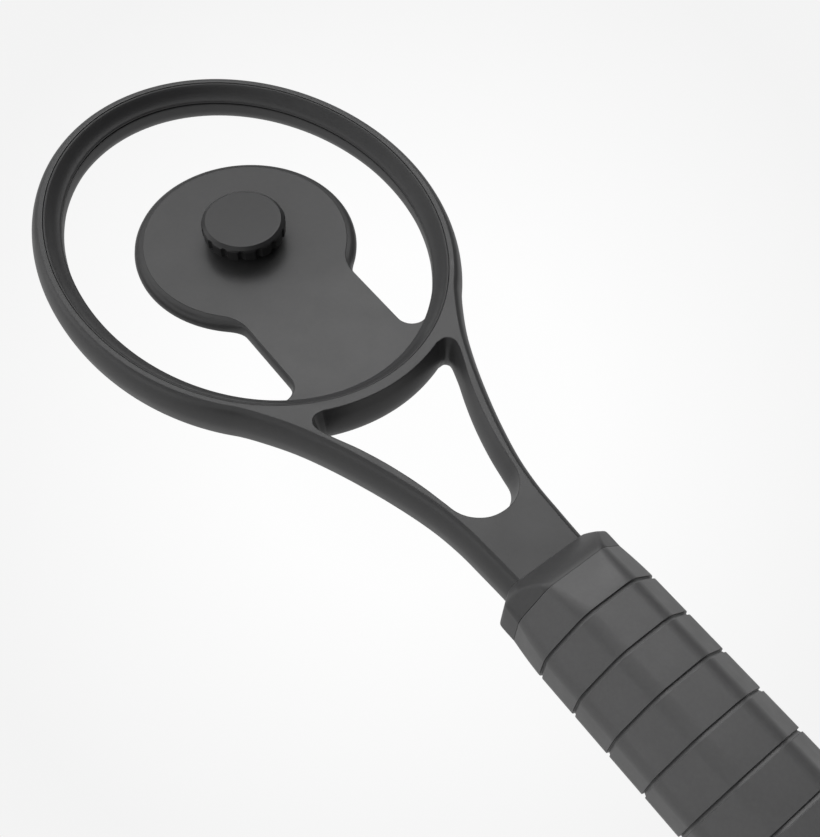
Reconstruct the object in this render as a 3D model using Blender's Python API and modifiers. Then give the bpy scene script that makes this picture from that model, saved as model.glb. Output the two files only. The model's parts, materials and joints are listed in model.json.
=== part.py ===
"""Racket-shaped hand frame for a clip-on motion tracker, built as separate named sub-parts.

Row frame: origin at the middle of the whole object's box, which is the middle of the grip. +Y points from the
handle to the tip of the ring, +Z to the side with the thumb knob, +X to the right.

The pieces are drawn in millimetres from the centre of the ring, which an empty puts in its place. A piece is
called with a home: the collection, the parent empty and the material it gets.
"""

import math
from collections import namedtuple

import bmesh
import bpy
from mathutils import Vector

MM = 0.001
GAP = 0.3

# Frame: the oval ring, the arms, the neck and the plate
TOP = 6.3  # half of the frame's thickness
RING_A, RING_B = 54.7, 68.1  # half axes of the oval where the front face starts
BULGE = 4.3  # how far the outer wall stands outside that oval
THROAT_RIM = 3.2  # front face between the ring's opening and the throat
LEDGE_Z = 1.2  # ledge for the rim liner, and the front face of the plate
LEDGE_IN = 4.3  # how far the ledge reaches into the opening
NECK_HALF = 12.3
NECK_END = -141.0
PLATE_R = 30.0
PLATE_NECK = 18.0
PLATE_FILLET = 12.0
PLATE_CORNER = 5.2
PLATE_FLARE = 0.3  # how far the plate's edge stands out along the neck, as a fraction of that on the disc
PLATE_REAR = -2.9
TANG_HALF, TANG_HALF_Z, TANG_END = 9.0, 4.0, -196.0
PIN_HOLE_Y = -14.0

# Knob and clamp stack, on the Z axis
KNOB_R, KNOB_FLAT_R = 12.3, 10.75
KNOB_LOW, KNOB_TOP = 4.5, 9.4
FLUTES, FLUTE_DEEP = 15, 1.0
FLUTE_TURN = -6.0  # degrees from +X to the first groove
STUD_R, STUD_END = 3.1, -12.6
HEAD_FLATS, POCKET_FLATS = 9.0, 9.6

# Handle
COLLAR_FRONT, COLLAR_REAR = -135.0, -142.7
COLLAR_STEEP = 1.15  # rise of the collar's slope for each millimetre along it
SLEEVE_FRONT, SLEEVE_REAR = -143.0, -280.5
FIRST_GROOVE, GROOVE_PITCH, GROOVES = -153.5, 11.55, 11
GROOVE_HALF, GROOVE_DEEP = 0.4, 0.75
SEAM_W, SEAM_H, SEAM_A, SEAM_B = 16.5, 14.7, 8.6, 6.2
GRIP_W, GRIP_H, GRIP_A, GRIP_B = 17.6, 16.4, 7.8, 6.0
CORE_W, CORE_H, CORE_A, CORE_B = 14.0, 12.4, 7.1, 4.5
CORE_FRONT, CORE_REAR = -143.0, -280.2
SCREW_Y = (-156.0, -186.0, -208.0, -260.0)
WEIGHT_R, WEIGHT_FRONT, WEIGHT_REAR = 6.8, -214.0, -252.0
CAP_FRONT, CAP_REAR = -280.8, -290.5
BUTT_SCREWS = ((10.6, 3.6), (-10.6, -3.6))

# Wrist strap, drawn behind the pin, and drooping a little. Its loop ends as far from the grip's middle as the
# ring does.
PIN_Y, PIN_R = -285.0, 1.5
CORD_R = 1.3
DROOP = math.radians(4.0)
GRIP_MIDDLE = (SLEEVE_FRONT + SLEEVE_REAR) / 2
STRAP_END = 2 * GRIP_MIDDLE - RING_B - BULGE
LOOP_START = 80.0
LOOP_END = (PIN_Y - STRAP_END - CORD_R) / math.cos(DROOP)
LOOP_HALF = 33.0
LOCK_S = 43.0
SPRING_R, SPRING_WIRE = 2.9, 0.32

AXIS_TURN = {
    "X": (0.0, math.pi / 2, 0.0),
    "Y": (-math.pi / 2, 0.0, 0.0),
    "Z": (0.0, 0.0, 0.0),
}

Home = namedtuple("Home", "coll parent mat")


def clear_scene():
    for obj in list(bpy.data.objects):
        bpy.data.objects.remove(obj, do_unlink=True)


def new_collection(name, cutters=False):
    coll = bpy.data.collections.new(name)
    bpy.context.scene.collection.children.link(coll)
    coll.hide_render = cutters
    return coll


def new_empty(name, parent, at, turn=(0.0, 0.0, 0.0)):
    empty = bpy.data.objects.new(name, None)
    bpy.context.scene.collection.objects.link(empty)
    empty.parent = parent
    empty.location = Vector(at) * MM
    empty.rotation_euler = turn
    return empty


def material(name, rgb, rough, metallic=0.0):
    mat = bpy.data.materials.new(name)
    mat.use_nodes = True
    shader = mat.node_tree.nodes["Principled BSDF"]
    shader.inputs["Base Color"].default_value = (*rgb, 1.0)
    shader.inputs["Roughness"].default_value = rough
    shader.inputs["Metallic"].default_value = metallic
    mat.diffuse_color = (*rgb, 1.0)
    return mat


# ---------------------------------------------------------------- outlines


def arc(cx, cy, r, start, end, count):
    """Points on an arc, angles in degrees, both ends included."""
    out = []
    for i in range(count + 1):
        t = math.radians(start + (end - start) * i / count)
        out.append((cx + r * math.cos(t), cy + r * math.sin(t)))
    return out


def ellipse(a, b, start, end, count):
    return [(a * x, b * y) for x, y in arc(0, 0, 1, start, end, count)]


def spline(points, per):
    """A Catmull-Rom curve through the points, without the first and the last one, which only steer it."""
    out = []
    for i in range(1, len(points) - 2):
        p0, p1, p2, p3 = (Vector(p) for p in points[i - 1 : i + 3])
        for k in range(per):
            t = k / per
            q = 2 * p1 + (p2 - p0) * t
            q += (2 * p0 - 5 * p1 + 4 * p2 - p3) * t * t
            q += (3 * p1 - p0 - 3 * p2 + p3) * t * t * t
            out.append(tuple(q / 2))
    out.append(tuple(points[-2]))
    return out


def mirrored(half):
    """Closes a right-hand half outline that runs from +Y to -Y with its mirror image."""
    left = [(-x, y) for x, y in reversed(half) if abs(x) > 1e-6]
    return half + left


def resample(loop, step):
    """Spreads points evenly round a closed outline."""
    pts = [Vector(p) for p in loop]
    pts.append(pts[0])
    lengths = [0.0]
    for a, b in zip(pts, pts[1:]):
        lengths.append(lengths[-1] + (b - a).length)
    count = max(8, round(lengths[-1] / step))
    out = []
    k = 0
    for i in range(count):
        want = lengths[-1] * i / count
        while lengths[k + 1] < want:
            k += 1
        t = (want - lengths[k]) / (lengths[k + 1] - lengths[k])
        out.append(tuple(pts[k].lerp(pts[k + 1], t)))
    return out


def loop_area(loop):
    """Area of a closed outline, positive when it runs anticlockwise."""
    return sum(a[0] * b[1] - b[0] * a[1] for a, b in zip(loop, loop[1:] + loop[:1])) / 2


def outward(loop):
    """Unit normals pointing out of a closed outline."""
    side = 1.0 if loop_area(loop) > 0 else -1.0
    out = []
    for i, _ in enumerate(loop):
        before = Vector(loop[i - 1])
        after = Vector(loop[(i + 1) % len(loop)])
        t = (after - before).normalized()
        out.append((side * t.y, -side * t.x))
    return out


def rounded(corners, radius, count):
    """Rounds each corner of a polygon with an arc."""
    out = []
    size = len(corners)
    for i in range(size):
        p = Vector(corners[i])
        a = (Vector(corners[i - 1]) - p).normalized()
        b = (Vector(corners[(i + 1) % size]) - p).normalized()
        half = a.angle(b) / 2
        centre = p + (a + b).normalized() * (radius / math.sin(half))
        start = p + a * (radius / math.tan(half)) - centre
        end = p + b * (radius / math.tan(half)) - centre
        turn = start.angle_signed(end)
        for k in range(count + 1):
            t = -turn * k / count
            c, s = math.cos(t), math.sin(t)
            out.append((centre.x + start.x * c - start.y * s, centre.y + start.x * s + start.y * c))
    return out


def octagon(w, h, a, b, radius=3.0, count=1):
    """The grip's section: half width and height, and the half widths of its upper and its side facet."""
    corners = [(a, h), (w, b), (w, -b), (a, -h), (-a, -h), (-w, -b), (-w, b), (-a, h)]
    return rounded(corners, radius, count)


def rectangle(half_u, half_v, radius):
    corners = [(-half_u, -half_v), (half_u, -half_v), (half_u, half_v), (-half_u, half_v)]
    return rounded(corners, radius, 3)


def stadium(half_u, half_v, count=6):
    """A rectangle with round ends, longer in v."""
    reach = half_v - half_u
    return arc(0, reach, half_u, 0, 180, count) + arc(0, -reach, half_u, 180, 360, count)


# ---------------------------------------------------------------- solids


def place(name, data, home, axis="Z", at=(0.0, 0.0, 0.0)):
    """Links an object to its home. Its own Z points along the axis."""
    obj = bpy.data.objects.new(name, data)
    home.coll.objects.link(obj)
    obj.parent = home.parent
    obj.location = Vector(at) * MM
    obj.rotation_euler = AXIS_TURN[axis]
    data.materials.append(home.mat)
    return obj


def solid(name, bm, home, smooth=35.0, axis="Z", at=(0.0, 0.0, 0.0)):
    """Turns a mesh drawn in millimetres into an object in metres, with its faces pointing out."""
    bmesh.ops.remove_doubles(bm, verts=bm.verts, dist=1e-5)
    bmesh.ops.recalc_face_normals(bm, faces=bm.faces)
    bmesh.ops.scale(bm, vec=(MM, MM, MM), verts=bm.verts)
    mesh = bpy.data.meshes.new(name)
    bm.to_mesh(mesh)
    bm.free()
    mesh.shade_smooth()
    mesh.set_sharp_from_angle(angle=math.radians(smooth))
    return place(name, mesh, home, axis, at)


def turned(name, profile, home, steps=32, axis="Z", at=(0.0, 0.0, 0.0), tube=False):
    """A turned solid from (radius, height) pairs. A tube's profile is a closed line clear of the axis."""
    if not tube:
        profile = [(0.0, profile[0][1]), *profile, (0.0, profile[-1][1])]
    if loop_area(profile) > 0:
        profile = profile[::-1]
    count = len(profile)
    edges = [(i, (i + 1) % count) for i in range(count if tube else count - 1)]
    mesh = bpy.data.meshes.new(name)
    mesh.from_pydata([(r * MM, 0.0, h * MM) for r, h in profile], edges, [])
    obj = place(name, mesh, home, axis, at)
    mod = obj.modifiers.new("turn", "SCREW")
    mod.steps = steps
    mod.render_steps = steps
    mod.use_merge_vertices = True
    mod.merge_threshold = 1e-6
    mod.use_smooth_shade = True
    return obj


def rod(name, radius, low, high, home, sides=20, axis="Z", at=(0.0, 0.0, 0.0)):
    """A plain cylinder, or with six sides a hexagonal bar."""
    bm = bmesh.new()
    bmesh.ops.create_cone(
        bm, cap_ends=True, segments=sides, radius1=radius, radius2=radius, depth=high - low
    )
    bmesh.ops.translate(bm, vec=(0.0, 0.0, (low + high) / 2), verts=bm.verts)
    return solid(name, bm, home, axis=axis, at=at)


def hex_bar(name, across_flats, low, high, home, axis="Z", at=(0.0, 0.0, 0.0)):
    return rod(name, across_flats / math.sqrt(3), low, high, home, 6, axis, at)


def slab(name, outline, low, high, home, axis="Z", at=(0.0, 0.0, 0.0)):
    """A filled 2D curve with a thickness, kept as a mesh. Along Y the outline is (x, z), symmetric in z."""
    curve = bpy.data.curves.new(name, "CURVE")
    curve.dimensions = "2D"
    curve.fill_mode = "BOTH"
    curve.extrude = (high - low) / 2
    line = curve.splines.new("POLY")
    line.points.add(len(outline) - 1)
    for point, (u, v) in zip(line.points, outline):
        point.co = (u, v, 0.0, 1.0)
    line.use_cyclic_u = True
    obj = bpy.data.objects.new(name, curve)
    bpy.context.scene.collection.objects.link(obj)
    bpy.context.view_layer.update()
    graph = bpy.context.evaluated_depsgraph_get()
    bm = bmesh.new()
    bm.from_mesh(bpy.data.meshes.new_from_object(obj.evaluated_get(graph)))
    bpy.data.objects.remove(obj, do_unlink=True)
    bmesh.ops.translate(bm, vec=(0.0, 0.0, (low + high) / 2), verts=bm.verts)
    return solid(name, bm, home, axis=axis, at=at)


def wire(name, points, radius, home, closed=False, sides=2):
    """A round wire along a line of points."""
    curve = bpy.data.curves.new(name, "CURVE")
    curve.dimensions = "3D"
    curve.bevel_depth = radius * MM
    curve.bevel_resolution = sides
    curve.use_fill_caps = not closed
    line = curve.splines.new("POLY")
    line.points.add(len(points) - 1)
    for point, (x, y, z) in zip(line.points, points):
        point.co = (x * MM, y * MM, z * MM, 1.0)
    line.use_cyclic_u = closed
    return place(name, curve, home)


def boolean(obj, other, operation="DIFFERENCE"):
    mod = obj.modifiers.new(f"{operation.lower()}_{other.name}", "BOOLEAN")
    mod.operation = operation
    mod.solver = "EXACT"
    mod.object = other
    other.hide_render = True
    other.display_type = "WIRE"


def add_ring(bm, points):
    return [bm.verts.new(p) for p in points]


def bridge(bm, one, two):
    size = len(one)
    for i in range(size):
        j = (i + 1) % size
        bm.faces.new((one[i], one[j], two[j], two[i]))


def loft(rings, tube=False):
    """Joins rings of equal size. A solid gets an end face at both ends, a tube joins its last ring to its first."""
    bm = bmesh.new()
    rows = [add_ring(bm, ring) for ring in rings]
    for one, two in zip(rows, rows[1:]):
        bridge(bm, one, two)
    if tube:
        bridge(bm, rows[-1], rows[0])
    else:
        bm.faces.new(rows[0])
        bm.faces.new(rows[-1])
    return bm


def plate_flare(y):
    """How much of the plate's edge profile stands out at this distance along the neck."""
    neck_y = -math.sqrt((PLATE_R + PLATE_FILLET) ** 2 - (PLATE_NECK + PLATE_FILLET) ** 2)
    disc_y = neck_y * PLATE_R / (PLATE_R + PLATE_FILLET)
    t = min(max((y - neck_y) / (disc_y - neck_y), 0.0), 1.0)
    return PLATE_FLARE + (1 - PLATE_FLARE) * t * t * (3 - 2 * t)


def swept_rows(bm, loop, profile, reach=None):
    """A wall that follows an outline. The profile is (distance outward, height) pairs."""
    normals = outward(loop)
    if reach:
        normals = [(n[0] * f, n[1] * f) for n, f in zip(normals, reach)]
    rows = []
    for off, z in profile:
        points = [(p[0] + n[0] * off, p[1] + n[1] * off, z) for p, n in zip(loop, normals)]
        rows.append(add_ring(bm, points))
    for one, two in zip(rows, rows[1:]):
        bridge(bm, one, two)
    return rows[0], rows[-1]


def fill_between(bm, rings, normal):
    edges = []
    for ring in rings:
        for i, vert in enumerate(ring):
            edges.append(bm.edges.get((vert, ring[(i + 1) % len(ring)])))
    bmesh.ops.triangle_fill(bm, use_beauty=True, edges=edges, normal=normal)


# ---------------------------------------------------------------- frame

OUTER_PROFILE = (
    (-3.3, TOP),
    (-1.9, 5.7),
    (-1.1, 4.6),
    (-0.4, 2.8),
    (0.0, 0.3),
    (-0.2, -2.2),
    (-0.7, -4.6),
    (-1.3, -5.8),
    (-2.3, -TOP),
)
RING_PROFILE = (
    (0.0, TOP),
    (0.0, LEDGE_Z - 0.05),
    (-LEDGE_IN, LEDGE_Z - 0.05),
    (-4.5, 0.7),
    (-4.5, -1.7),
    (-4.1, -3.2),
    (-2.9, -5.0),
    (-1.4, -6.0),
    (0.2, -TOP),
)
THROAT_PROFILE = (
    (0.8, TOP),
    (0.15, 6.05),
    (-0.25, 5.3),
    (-1.2, 2.4),
    (-1.7, -0.6),
    (-1.6, -3.0),
    (-0.9, -5.2),
    (0.6, -TOP),
)
PLATE_PROFILE = ((0.0, LEDGE_Z), (1.3, 0.85), (2.4, 0.0), (3.0, -1.2), (3.0, -2.1), (2.2, PLATE_REAR))
LINER_PROFILE = (
    (-0.3, LEDGE_Z + GAP),
    (-4.2, LEDGE_Z + GAP),
    (-4.45, 1.85),
    (-4.2, 2.3),
    (-3.2, 2.9),
    (-2.1, 3.9),
    (-1.35, 5.0),
    (-0.7, 6.05),
    (-0.3, 6.15),
)


def ring_outline():
    return resample(ellipse(RING_A, RING_B, 0, 360, 400)[:-1], 5.6)


def frame_outline():
    """Outer edge of the ring, the arms and the neck, at the widest level of the wall."""
    half = ellipse(RING_A + BULGE, RING_B + BULGE, 90, -49, 44)
    stations = [half[-2], half[-1], (34.9, -59.9), (30.1, -67.6), (26.2, -75.4), (22.2, -84.9), (18.2, -96.0)]
    stations += [(14.9, -107.5), (13.3, -117.0), (12.7, -126.0), (NECK_HALF, -134.0)]
    stations += [(NECK_HALF, NECK_END + 1.5), (11.6, NECK_END + 0.4)]
    half += spline(stations, 6)[1:]
    half += [(10.4, NECK_END), (3.0, NECK_END)]
    return resample(mirrored(half), 5.4)


def throat_outline():
    """The opening between the arms: an arc along the ring, two curved sides and a round end."""
    half = ellipse(RING_A + THROAT_RIM, RING_B + THROAT_RIM, -90, -70.3, 8)
    turn = [(17.0, -68.2), (19.5, -67.4), (21.6, -67.3), (23.1, -68.5), (23.4, -70.9), (21.4, -76.3)]
    half += spline(turn, 3)
    sides = [(23.4, -70.9), (21.4, -76.3), (18.4, -83.0), (15.9, -89.4), (13.9, -95.6), (12.3, -101.6)]
    sides += [(11.1, -107.4), (10.1, -111.8), (7.9, -115.2), (4.3, -117.7), (0.0, -118.5), (-4.3, -117.7)]
    half += spline(sides, 4)
    return resample(mirrored(half), 3.1)


def wall_touch(width, radius):
    """Where a fillet of this radius touches both the ring's inner wall and the side of the plate's neck."""
    low, high = -1.5, -0.6
    reach = LEDGE_IN - 0.4
    for _ in range(50):
        t = (low + high) / 2
        n = Vector((RING_B * math.cos(t), RING_A * math.sin(t))).normalized()
        p = Vector((RING_A * math.cos(t), RING_B * math.sin(t))) - n * reach
        centre = p - n * radius
        if centre.x > width + radius:
            high = t
        else:
            low = t
    return p, centre, n


def plate_outline():
    """Disc, neck, and the corners that run out into the ring's wall."""
    fr = PLATE_FILLET
    cy = -math.sqrt((PLATE_R + fr) ** 2 - (PLATE_NECK + fr) ** 2)
    meet = math.degrees(math.atan2(cy, PLATE_NECK + fr))
    half = arc(0, 0, PLATE_R, 90, meet, 18)
    half += arc(PLATE_NECK + fr, cy, fr, 180 + meet, 180, 5)[1:]
    touch, centre, n = wall_touch(PLATE_NECK, PLATE_CORNER)
    end = math.degrees(math.atan2(n.y, n.x))
    half += arc(centre.x, centre.y, PLATE_CORNER, 180, end + 360, 7)
    half.append(tuple(touch + n * 1.2))
    half += ellipse(RING_A - 2.4, RING_B - 2.4, -65, -90, 6)
    return mirrored(half)


def build_frame(home, cut):
    bm = bmesh.new()
    outer = swept_rows(bm, frame_outline(), OUTER_PROFILE)
    inner = swept_rows(bm, ring_outline(), RING_PROFILE)
    throat = swept_rows(bm, throat_outline(), THROAT_PROFILE)
    fill_between(bm, [outer[0], inner[0], throat[0]], (0, 0, 1))
    fill_between(bm, [outer[1], inner[1], throat[1]], (0, 0, -1))
    frame = solid("frame", bm, home, 32)

    bm = bmesh.new()
    loop = plate_outline()
    top, low = swept_rows(bm, loop, PLATE_PROFILE, [plate_flare(p[1]) for p in loop])
    fill_between(bm, [top], (0, 0, 1))
    fill_between(bm, [low], (0, 0, -1))
    boolean(frame, solid("plate_body", bm, cut), "UNION")
    tang = slab("tang_body", rectangle(TANG_HALF, TANG_HALF_Z, 1.0), TANG_END, NECK_END + 6.0, cut, "Y")
    boolean(frame, tang, "UNION")

    boolean(frame, rod("bush_hole", 5.3, -9.0, 9.0, cut, 32))
    boolean(frame, rod("pin_hole", 2.3, -6.0, 0.4, cut, at=(0.0, PIN_HOLE_Y, 0.0)))
    for i, y in enumerate(SCREW_Y[:2]):
        boolean(frame, rod(f"tang_hole_{i}", 1.9, -6.0, 6.0, cut, at=(0.0, y, 0.0)))


def build_liner(home):
    bm = bmesh.new()
    first, last = swept_rows(bm, ring_outline(), LINER_PROFILE)
    bridge(bm, last, first)
    solid("rim_liner", bm, home, 40)


# ---------------------------------------------------------------- knob and clamp stack


def knob_ring(z, radius, depth):
    """The knob's outline at one level, with its grooves cut to a depth."""
    half_width = 4.6
    out = []
    for i in range(FLUTES):
        mid = 360.0 * i / FLUTES + FLUTE_TURN
        for off in (-9.0, -4.4, -2.6, 0.0, 2.6, 4.4):
            scoop = math.sqrt(max(0.0, 1.0 - (off / half_width) ** 2))
            t = math.radians(mid + off)
            r = radius - depth * scoop
            out.append((r * math.cos(t), r * math.sin(t), z))
    return out


def build_knob(home, cut):
    levels = (
        (KNOB_LOW, KNOB_R - 0.7, 0.7),
        (KNOB_LOW + 0.6, KNOB_R, FLUTE_DEEP),
        (KNOB_TOP - 1.9, KNOB_R, FLUTE_DEEP),
        (KNOB_TOP - 1.1, KNOB_R - 0.1, 0.0),
        (KNOB_TOP - 0.4, KNOB_R - 0.6, 0.0),
        (KNOB_TOP, KNOB_FLAT_R, 0.0),
    )
    knob = solid("knob", loft([knob_ring(*level) for level in levels]), home, 28)
    hub = [(5.8, 2.4), (6.1, 2.7), (6.6, 4.9), (6.6, 5.5)]
    boolean(knob, turned("knob_hub", hub, cut, 40), "UNION")
    boolean(knob, hex_bar("knob_pocket", POCKET_FLATS, 1.0, 8.1, cut))


def build_screw(home, cut):
    shape = [(STUD_R - 0.7, STUD_END), (STUD_R, STUD_END + 0.7), (STUD_R, -5.2), (2.5, -5.2), (2.5, -4.1)]
    shape += [(STUD_R, -4.1), (STUD_R, 4.0)]
    screw = turned("thumb_screw", shape, home, 28)
    boolean(screw, hex_bar("screw_head", HEAD_FLATS, 2.7, 7.8, cut), "UNION")


def build_washer(home):
    shape = [(3.6, 1.5), (6.4, 1.5), (6.6, 1.7), (6.4, 2.1), (3.6, 2.1)]
    turned("thrust_washer", shape, home, tube=True)


def build_bush(home):
    shape = [(3.5, -4.0), (7.2, -4.0), (7.5, -3.7), (7.5, -3.2), (5.0, -3.2), (5.0, LEDGE_Z), (3.5, LEDGE_Z)]
    turned("plate_bush", shape, home, tube=True)


def build_clip(home):
    """An open ring, with its gap at +Y."""
    outline = arc(0, 0, 5.4, 118, 422, 26) + arc(0, 0, 2.8, 420, 120, 20)
    slab("retaining_clip", outline, -4.95, -4.35, home)


def build_pad(home, cut):
    top, face, floor = -3.2, -5.6, -5.0
    shape = [(8.6, top), (8.6, face)]
    for r in (11.4, 18.1):
        shape += [(r - 0.4, face), (r - 0.2, floor), (r + 0.4, floor), (r + 0.6, face)]
    shape += [(25.4, face), (26.0, floor), (26.0, top)]
    pad = turned("tracker_pad", shape, home, 48, tube=True)
    boolean(pad, rod("pad_hole", 2.3, -8.0, 0.0, cut, at=(0.0, PIN_HOLE_Y, 0.0)))


def build_locating_pin(home):
    shape = [(1.2, -8.6), (1.8, -8.2), (2.0, -7.4), (2.0, -0.1), (1.8, 0.1)]
    turned("locating_pin", shape, home, 20, at=(0.0, PIN_HOLE_Y, 0.0))


# ---------------------------------------------------------------- handle


def section(y, *size):
    return [(x, y, z) for x, z in octagon(*size)]


def collar_section(depth):
    """The grip's octagon, cut back all round by a slope. Depth is measured from the collar's front."""
    side = Vector((SEAM_H - SEAM_B, SEAM_W - SEAM_A)).normalized()
    full = side.x * SEAM_W + side.y * SEAM_B
    rise = COLLAR_STEEP * depth
    w = min(NECK_HALF + 0.6 + rise, SEAM_W)
    h = min(TOP + 0.4 + rise, SEAM_H)
    slant = min(full - 3.7 + rise, full)
    a, b = (slant - side.y * h) / side.x, (slant - side.x * w) / side.y
    return section(COLLAR_FRONT - depth, w, h, a, b, 1.2)


def build_collar(home, cut):
    length = COLLAR_FRONT - COLLAR_REAR
    depths = (0.0, (SEAM_W - NECK_HALF - 0.6) / COLLAR_STEEP, 5.6, length)
    collar = solid("grip_collar", loft([collar_section(d) for d in depths]), home, 22)
    hole = slab("collar_hole", octagon(NECK_HALF + 0.35, TOP + 0.35, 10.6, 4.8, 0.8), -150.0, -130.0, cut, "Y")
    boolean(collar, hole)


def build_sleeve(home):
    rings = [section(SLEEVE_FRONT, SEAM_W, SEAM_H, SEAM_A, SEAM_B)]
    rings.append(section(-147.5, 17.2, 15.8, 8.1, 6.1))
    full = (GRIP_W, GRIP_H, GRIP_A, GRIP_B)
    deep = (GRIP_W - GROOVE_DEEP, GRIP_H - GROOVE_DEEP, GRIP_A - 0.3, GRIP_B - 0.3)
    for i in range(GROOVES):
        y = FIRST_GROOVE - GROOVE_PITCH * i
        rings.append(section(y + GROOVE_HALF, *full))
        rings.append(section(y + GROOVE_HALF - 0.1, *deep))
        rings.append(section(y - GROOVE_HALF + 0.2, *deep))
        rings.append(section(y - GROOVE_HALF, *full))
    rings.append(section(SLEEVE_REAR, *full))
    bore = (CORE_W + GAP, CORE_H + GAP, CORE_A + 0.12, CORE_B + 0.12)
    rings.append(section(SLEEVE_REAR, *bore))
    rings.append(section(SLEEVE_FRONT, *bore))
    solid("grip_sleeve", loft(rings, tube=True), home, 22)


def build_core(name, side, home, cut):
    """One half of the handle's core. The front half, on side 1, holds the inserts, the rear half the screws."""
    outline = octagon(CORE_W, CORE_H, CORE_A, CORE_B, 2.0)
    core = slab(name, outline, CORE_REAR, CORE_FRONT, home, "Y")
    block = 20.0
    level = side * (GAP - block) / 2
    cuts = [slab(f"{name}_half", rectangle(30.0, block / 2, 1.0), -300.0, -120.0, cut, "Y", (0.0, 0.0, level))]
    channel = rectangle(TANG_HALF + GAP, TANG_HALF_Z + GAP, 0.8)
    cuts.append(slab(f"{name}_channel", channel, TANG_END - GAP, -140.0, cut, "Y"))
    cuts.append(rod(f"{name}_chamber", WEIGHT_R + GAP, WEIGHT_REAR - GAP, WEIGHT_FRONT + GAP, cut, 28, "Y"))
    cuts.append(rod(f"{name}_socket", 9.1, -290.0, -273.6, cut, 32, "Y"))
    profile = [(3.6, -20.0), (3.6, -8.7), (1.9, -8.7), (1.9, 1.0)]
    if side > 0:
        profile = [(1.9, -1.0), (1.9, 4.2), (2.7, 4.2), (2.7, 10.1)]
    for i, y in enumerate(SCREW_Y):
        cuts.append(turned(f"{name}_screw_hole_{i}", profile, cut, 20, at=(0.0, y, 0.0)))
    x, z = BUTT_SCREWS[0] if side > 0 else BUTT_SCREWS[1]
    cuts.append(rod(f"{name}_cap_hole", 1.35, -290.0, -268.5, cut, 16, "Y", (x, 0.0, z)))
    for other in cuts:
        boolean(core, other)


def build_core_screw(number, y, home, cut):
    shape = [(1.1, 9.6), (1.4, 9.3), (1.4, -9.0), (2.6, -9.0), (2.9, -9.6), (2.7, -10.8), (2.1, -11.3)]
    screw = turned(f"core_screw_{number}", shape, home, 18, at=(0.0, y, 0.0))
    boolean(screw, hex_bar(f"core_socket_{number}", 2.0, -13.0, -9.9, cut, at=(0.0, y, 0.0)))


def build_core_insert(number, y, home):
    shape = [(1.7, 4.6), (2.2, 4.6), (2.4, 5.0), (2.4, 9.3), (2.2, 9.7), (1.7, 9.7)]
    turned(f"core_insert_{number}", shape, home, 18, at=(0.0, y, 0.0), tube=True)


def build_butt_screw(number, x, z, home, cut):
    shape = [(0.6, -269.5), (1.05, -271.0), (1.05, -287.6), (2.3, -287.6), (2.5, -288.1)]
    shape += [(2.4, -289.3), (1.9, -289.8)]
    screw = turned(f"butt_screw_{number}", shape, home, 18, "Y", (x, 0.0, z))
    boolean(screw, hex_bar(f"butt_socket_{number}", 1.8, -292.0, -288.6, cut, "Y", (x, 0.0, z)))


def build_weight(home):
    r = WEIGHT_R
    shape = [(r - 0.8, WEIGHT_REAR), (r, WEIGHT_REAR + 0.8), (r, WEIGHT_FRONT - 0.8), (r - 0.8, WEIGHT_FRONT)]
    turned("balance_weight", shape, home, 28, "Y")


def build_cap(home, cut):
    def ring(y, grow, radius=3.0):
        return section(y, GRIP_W + grow, GRIP_H + grow, GRIP_A + grow * 0.4, GRIP_B + grow * 0.4, radius)

    rings = [ring(CAP_FRONT, 0.0), ring(-283.0, 0.6), ring(-287.6, 0.8), ring(-289.6, 0.1)]
    rings.append(ring(CAP_REAR, -1.6, 2.4))
    cap = solid("butt_cap", loft(rings), home, 28)
    spigot = turned("cap_spigot", [(8.3, -274.0), (8.7, -274.5), (8.7, -284.0)], cut, 32, "Y")
    boolean(cap, spigot, "UNION")
    boolean(cap, slab("cap_slot", rectangle(3.1, 9.5, 1.2), -300.0, -279.6, cut, "Y"))
    boolean(cap, rod("cap_pin_hole", PIN_R + 0.25, -30.0, 30.0, cut, 18, "X", (0.0, PIN_Y, 0.0)))
    for i, (x, z) in enumerate(BUTT_SCREWS):
        shape = [(1.5, -270.0), (1.5, -287.3), (2.9, -287.3), (2.9, -295.0)]
        boolean(cap, turned(f"cap_screw_hole_{i}", shape, cut, 18, "Y", (x, 0.0, z)))


# ---------------------------------------------------------------- wrist strap


def cord_path():
    """Closed centre line: round the pin, through the ferrule, a quarter twist, then the loop for the wrist."""
    turn = PIN_R + CORD_R + GAP
    half = [(0.0, u, v) for u, v in arc(0, 0, turn, 180, 90, 5)]
    half += [(0.0, 4.0, 2.75), (0.0, 8.0, 1.95), (0.0, 11.5, 1.5), (0.0, 20.0, 1.47)]
    for i in range(1, 6):
        t = math.radians(90 - 18 * i)
        r = 1.5 + 0.25 * i / 5
        half.append((r * math.cos(t), 20.0 + 2.4 * i, r * math.sin(t)))
    start = 1.75
    half.append((start, LOOP_START, 0.0))
    shape = ((0.072, 0.064), (0.344, 0.192), (0.776, 0.384), (1.0, 0.594), (0.856, 0.813), (0.376, 0.959))
    loop = [(start + (LOOP_HALF - start) * u, LOOP_START + (LOOP_END - LOOP_START) * v) for u, v in shape]
    beyond = (-loop[-1][0], loop[-1][1])
    loop = [(start, LOOP_START - 4.0), (start, LOOP_START), *loop, (0.0, LOOP_END), beyond]
    half += [(x, s, 0.0) for x, s in spline(loop, 3)[1:]]
    other = [(-x, s, -z) for x, s, z in reversed(half[1:-1])]
    return [(x, -s, z) for x, s, z in half + other]


def build_pin(home):
    shape = [(1.2, -16.6), (PIN_R, -16.2), (PIN_R, 16.2), (1.2, 16.6)]
    turned("strap_pin", shape, home, 18, "X", (0.0, PIN_Y, 0.0))


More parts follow.
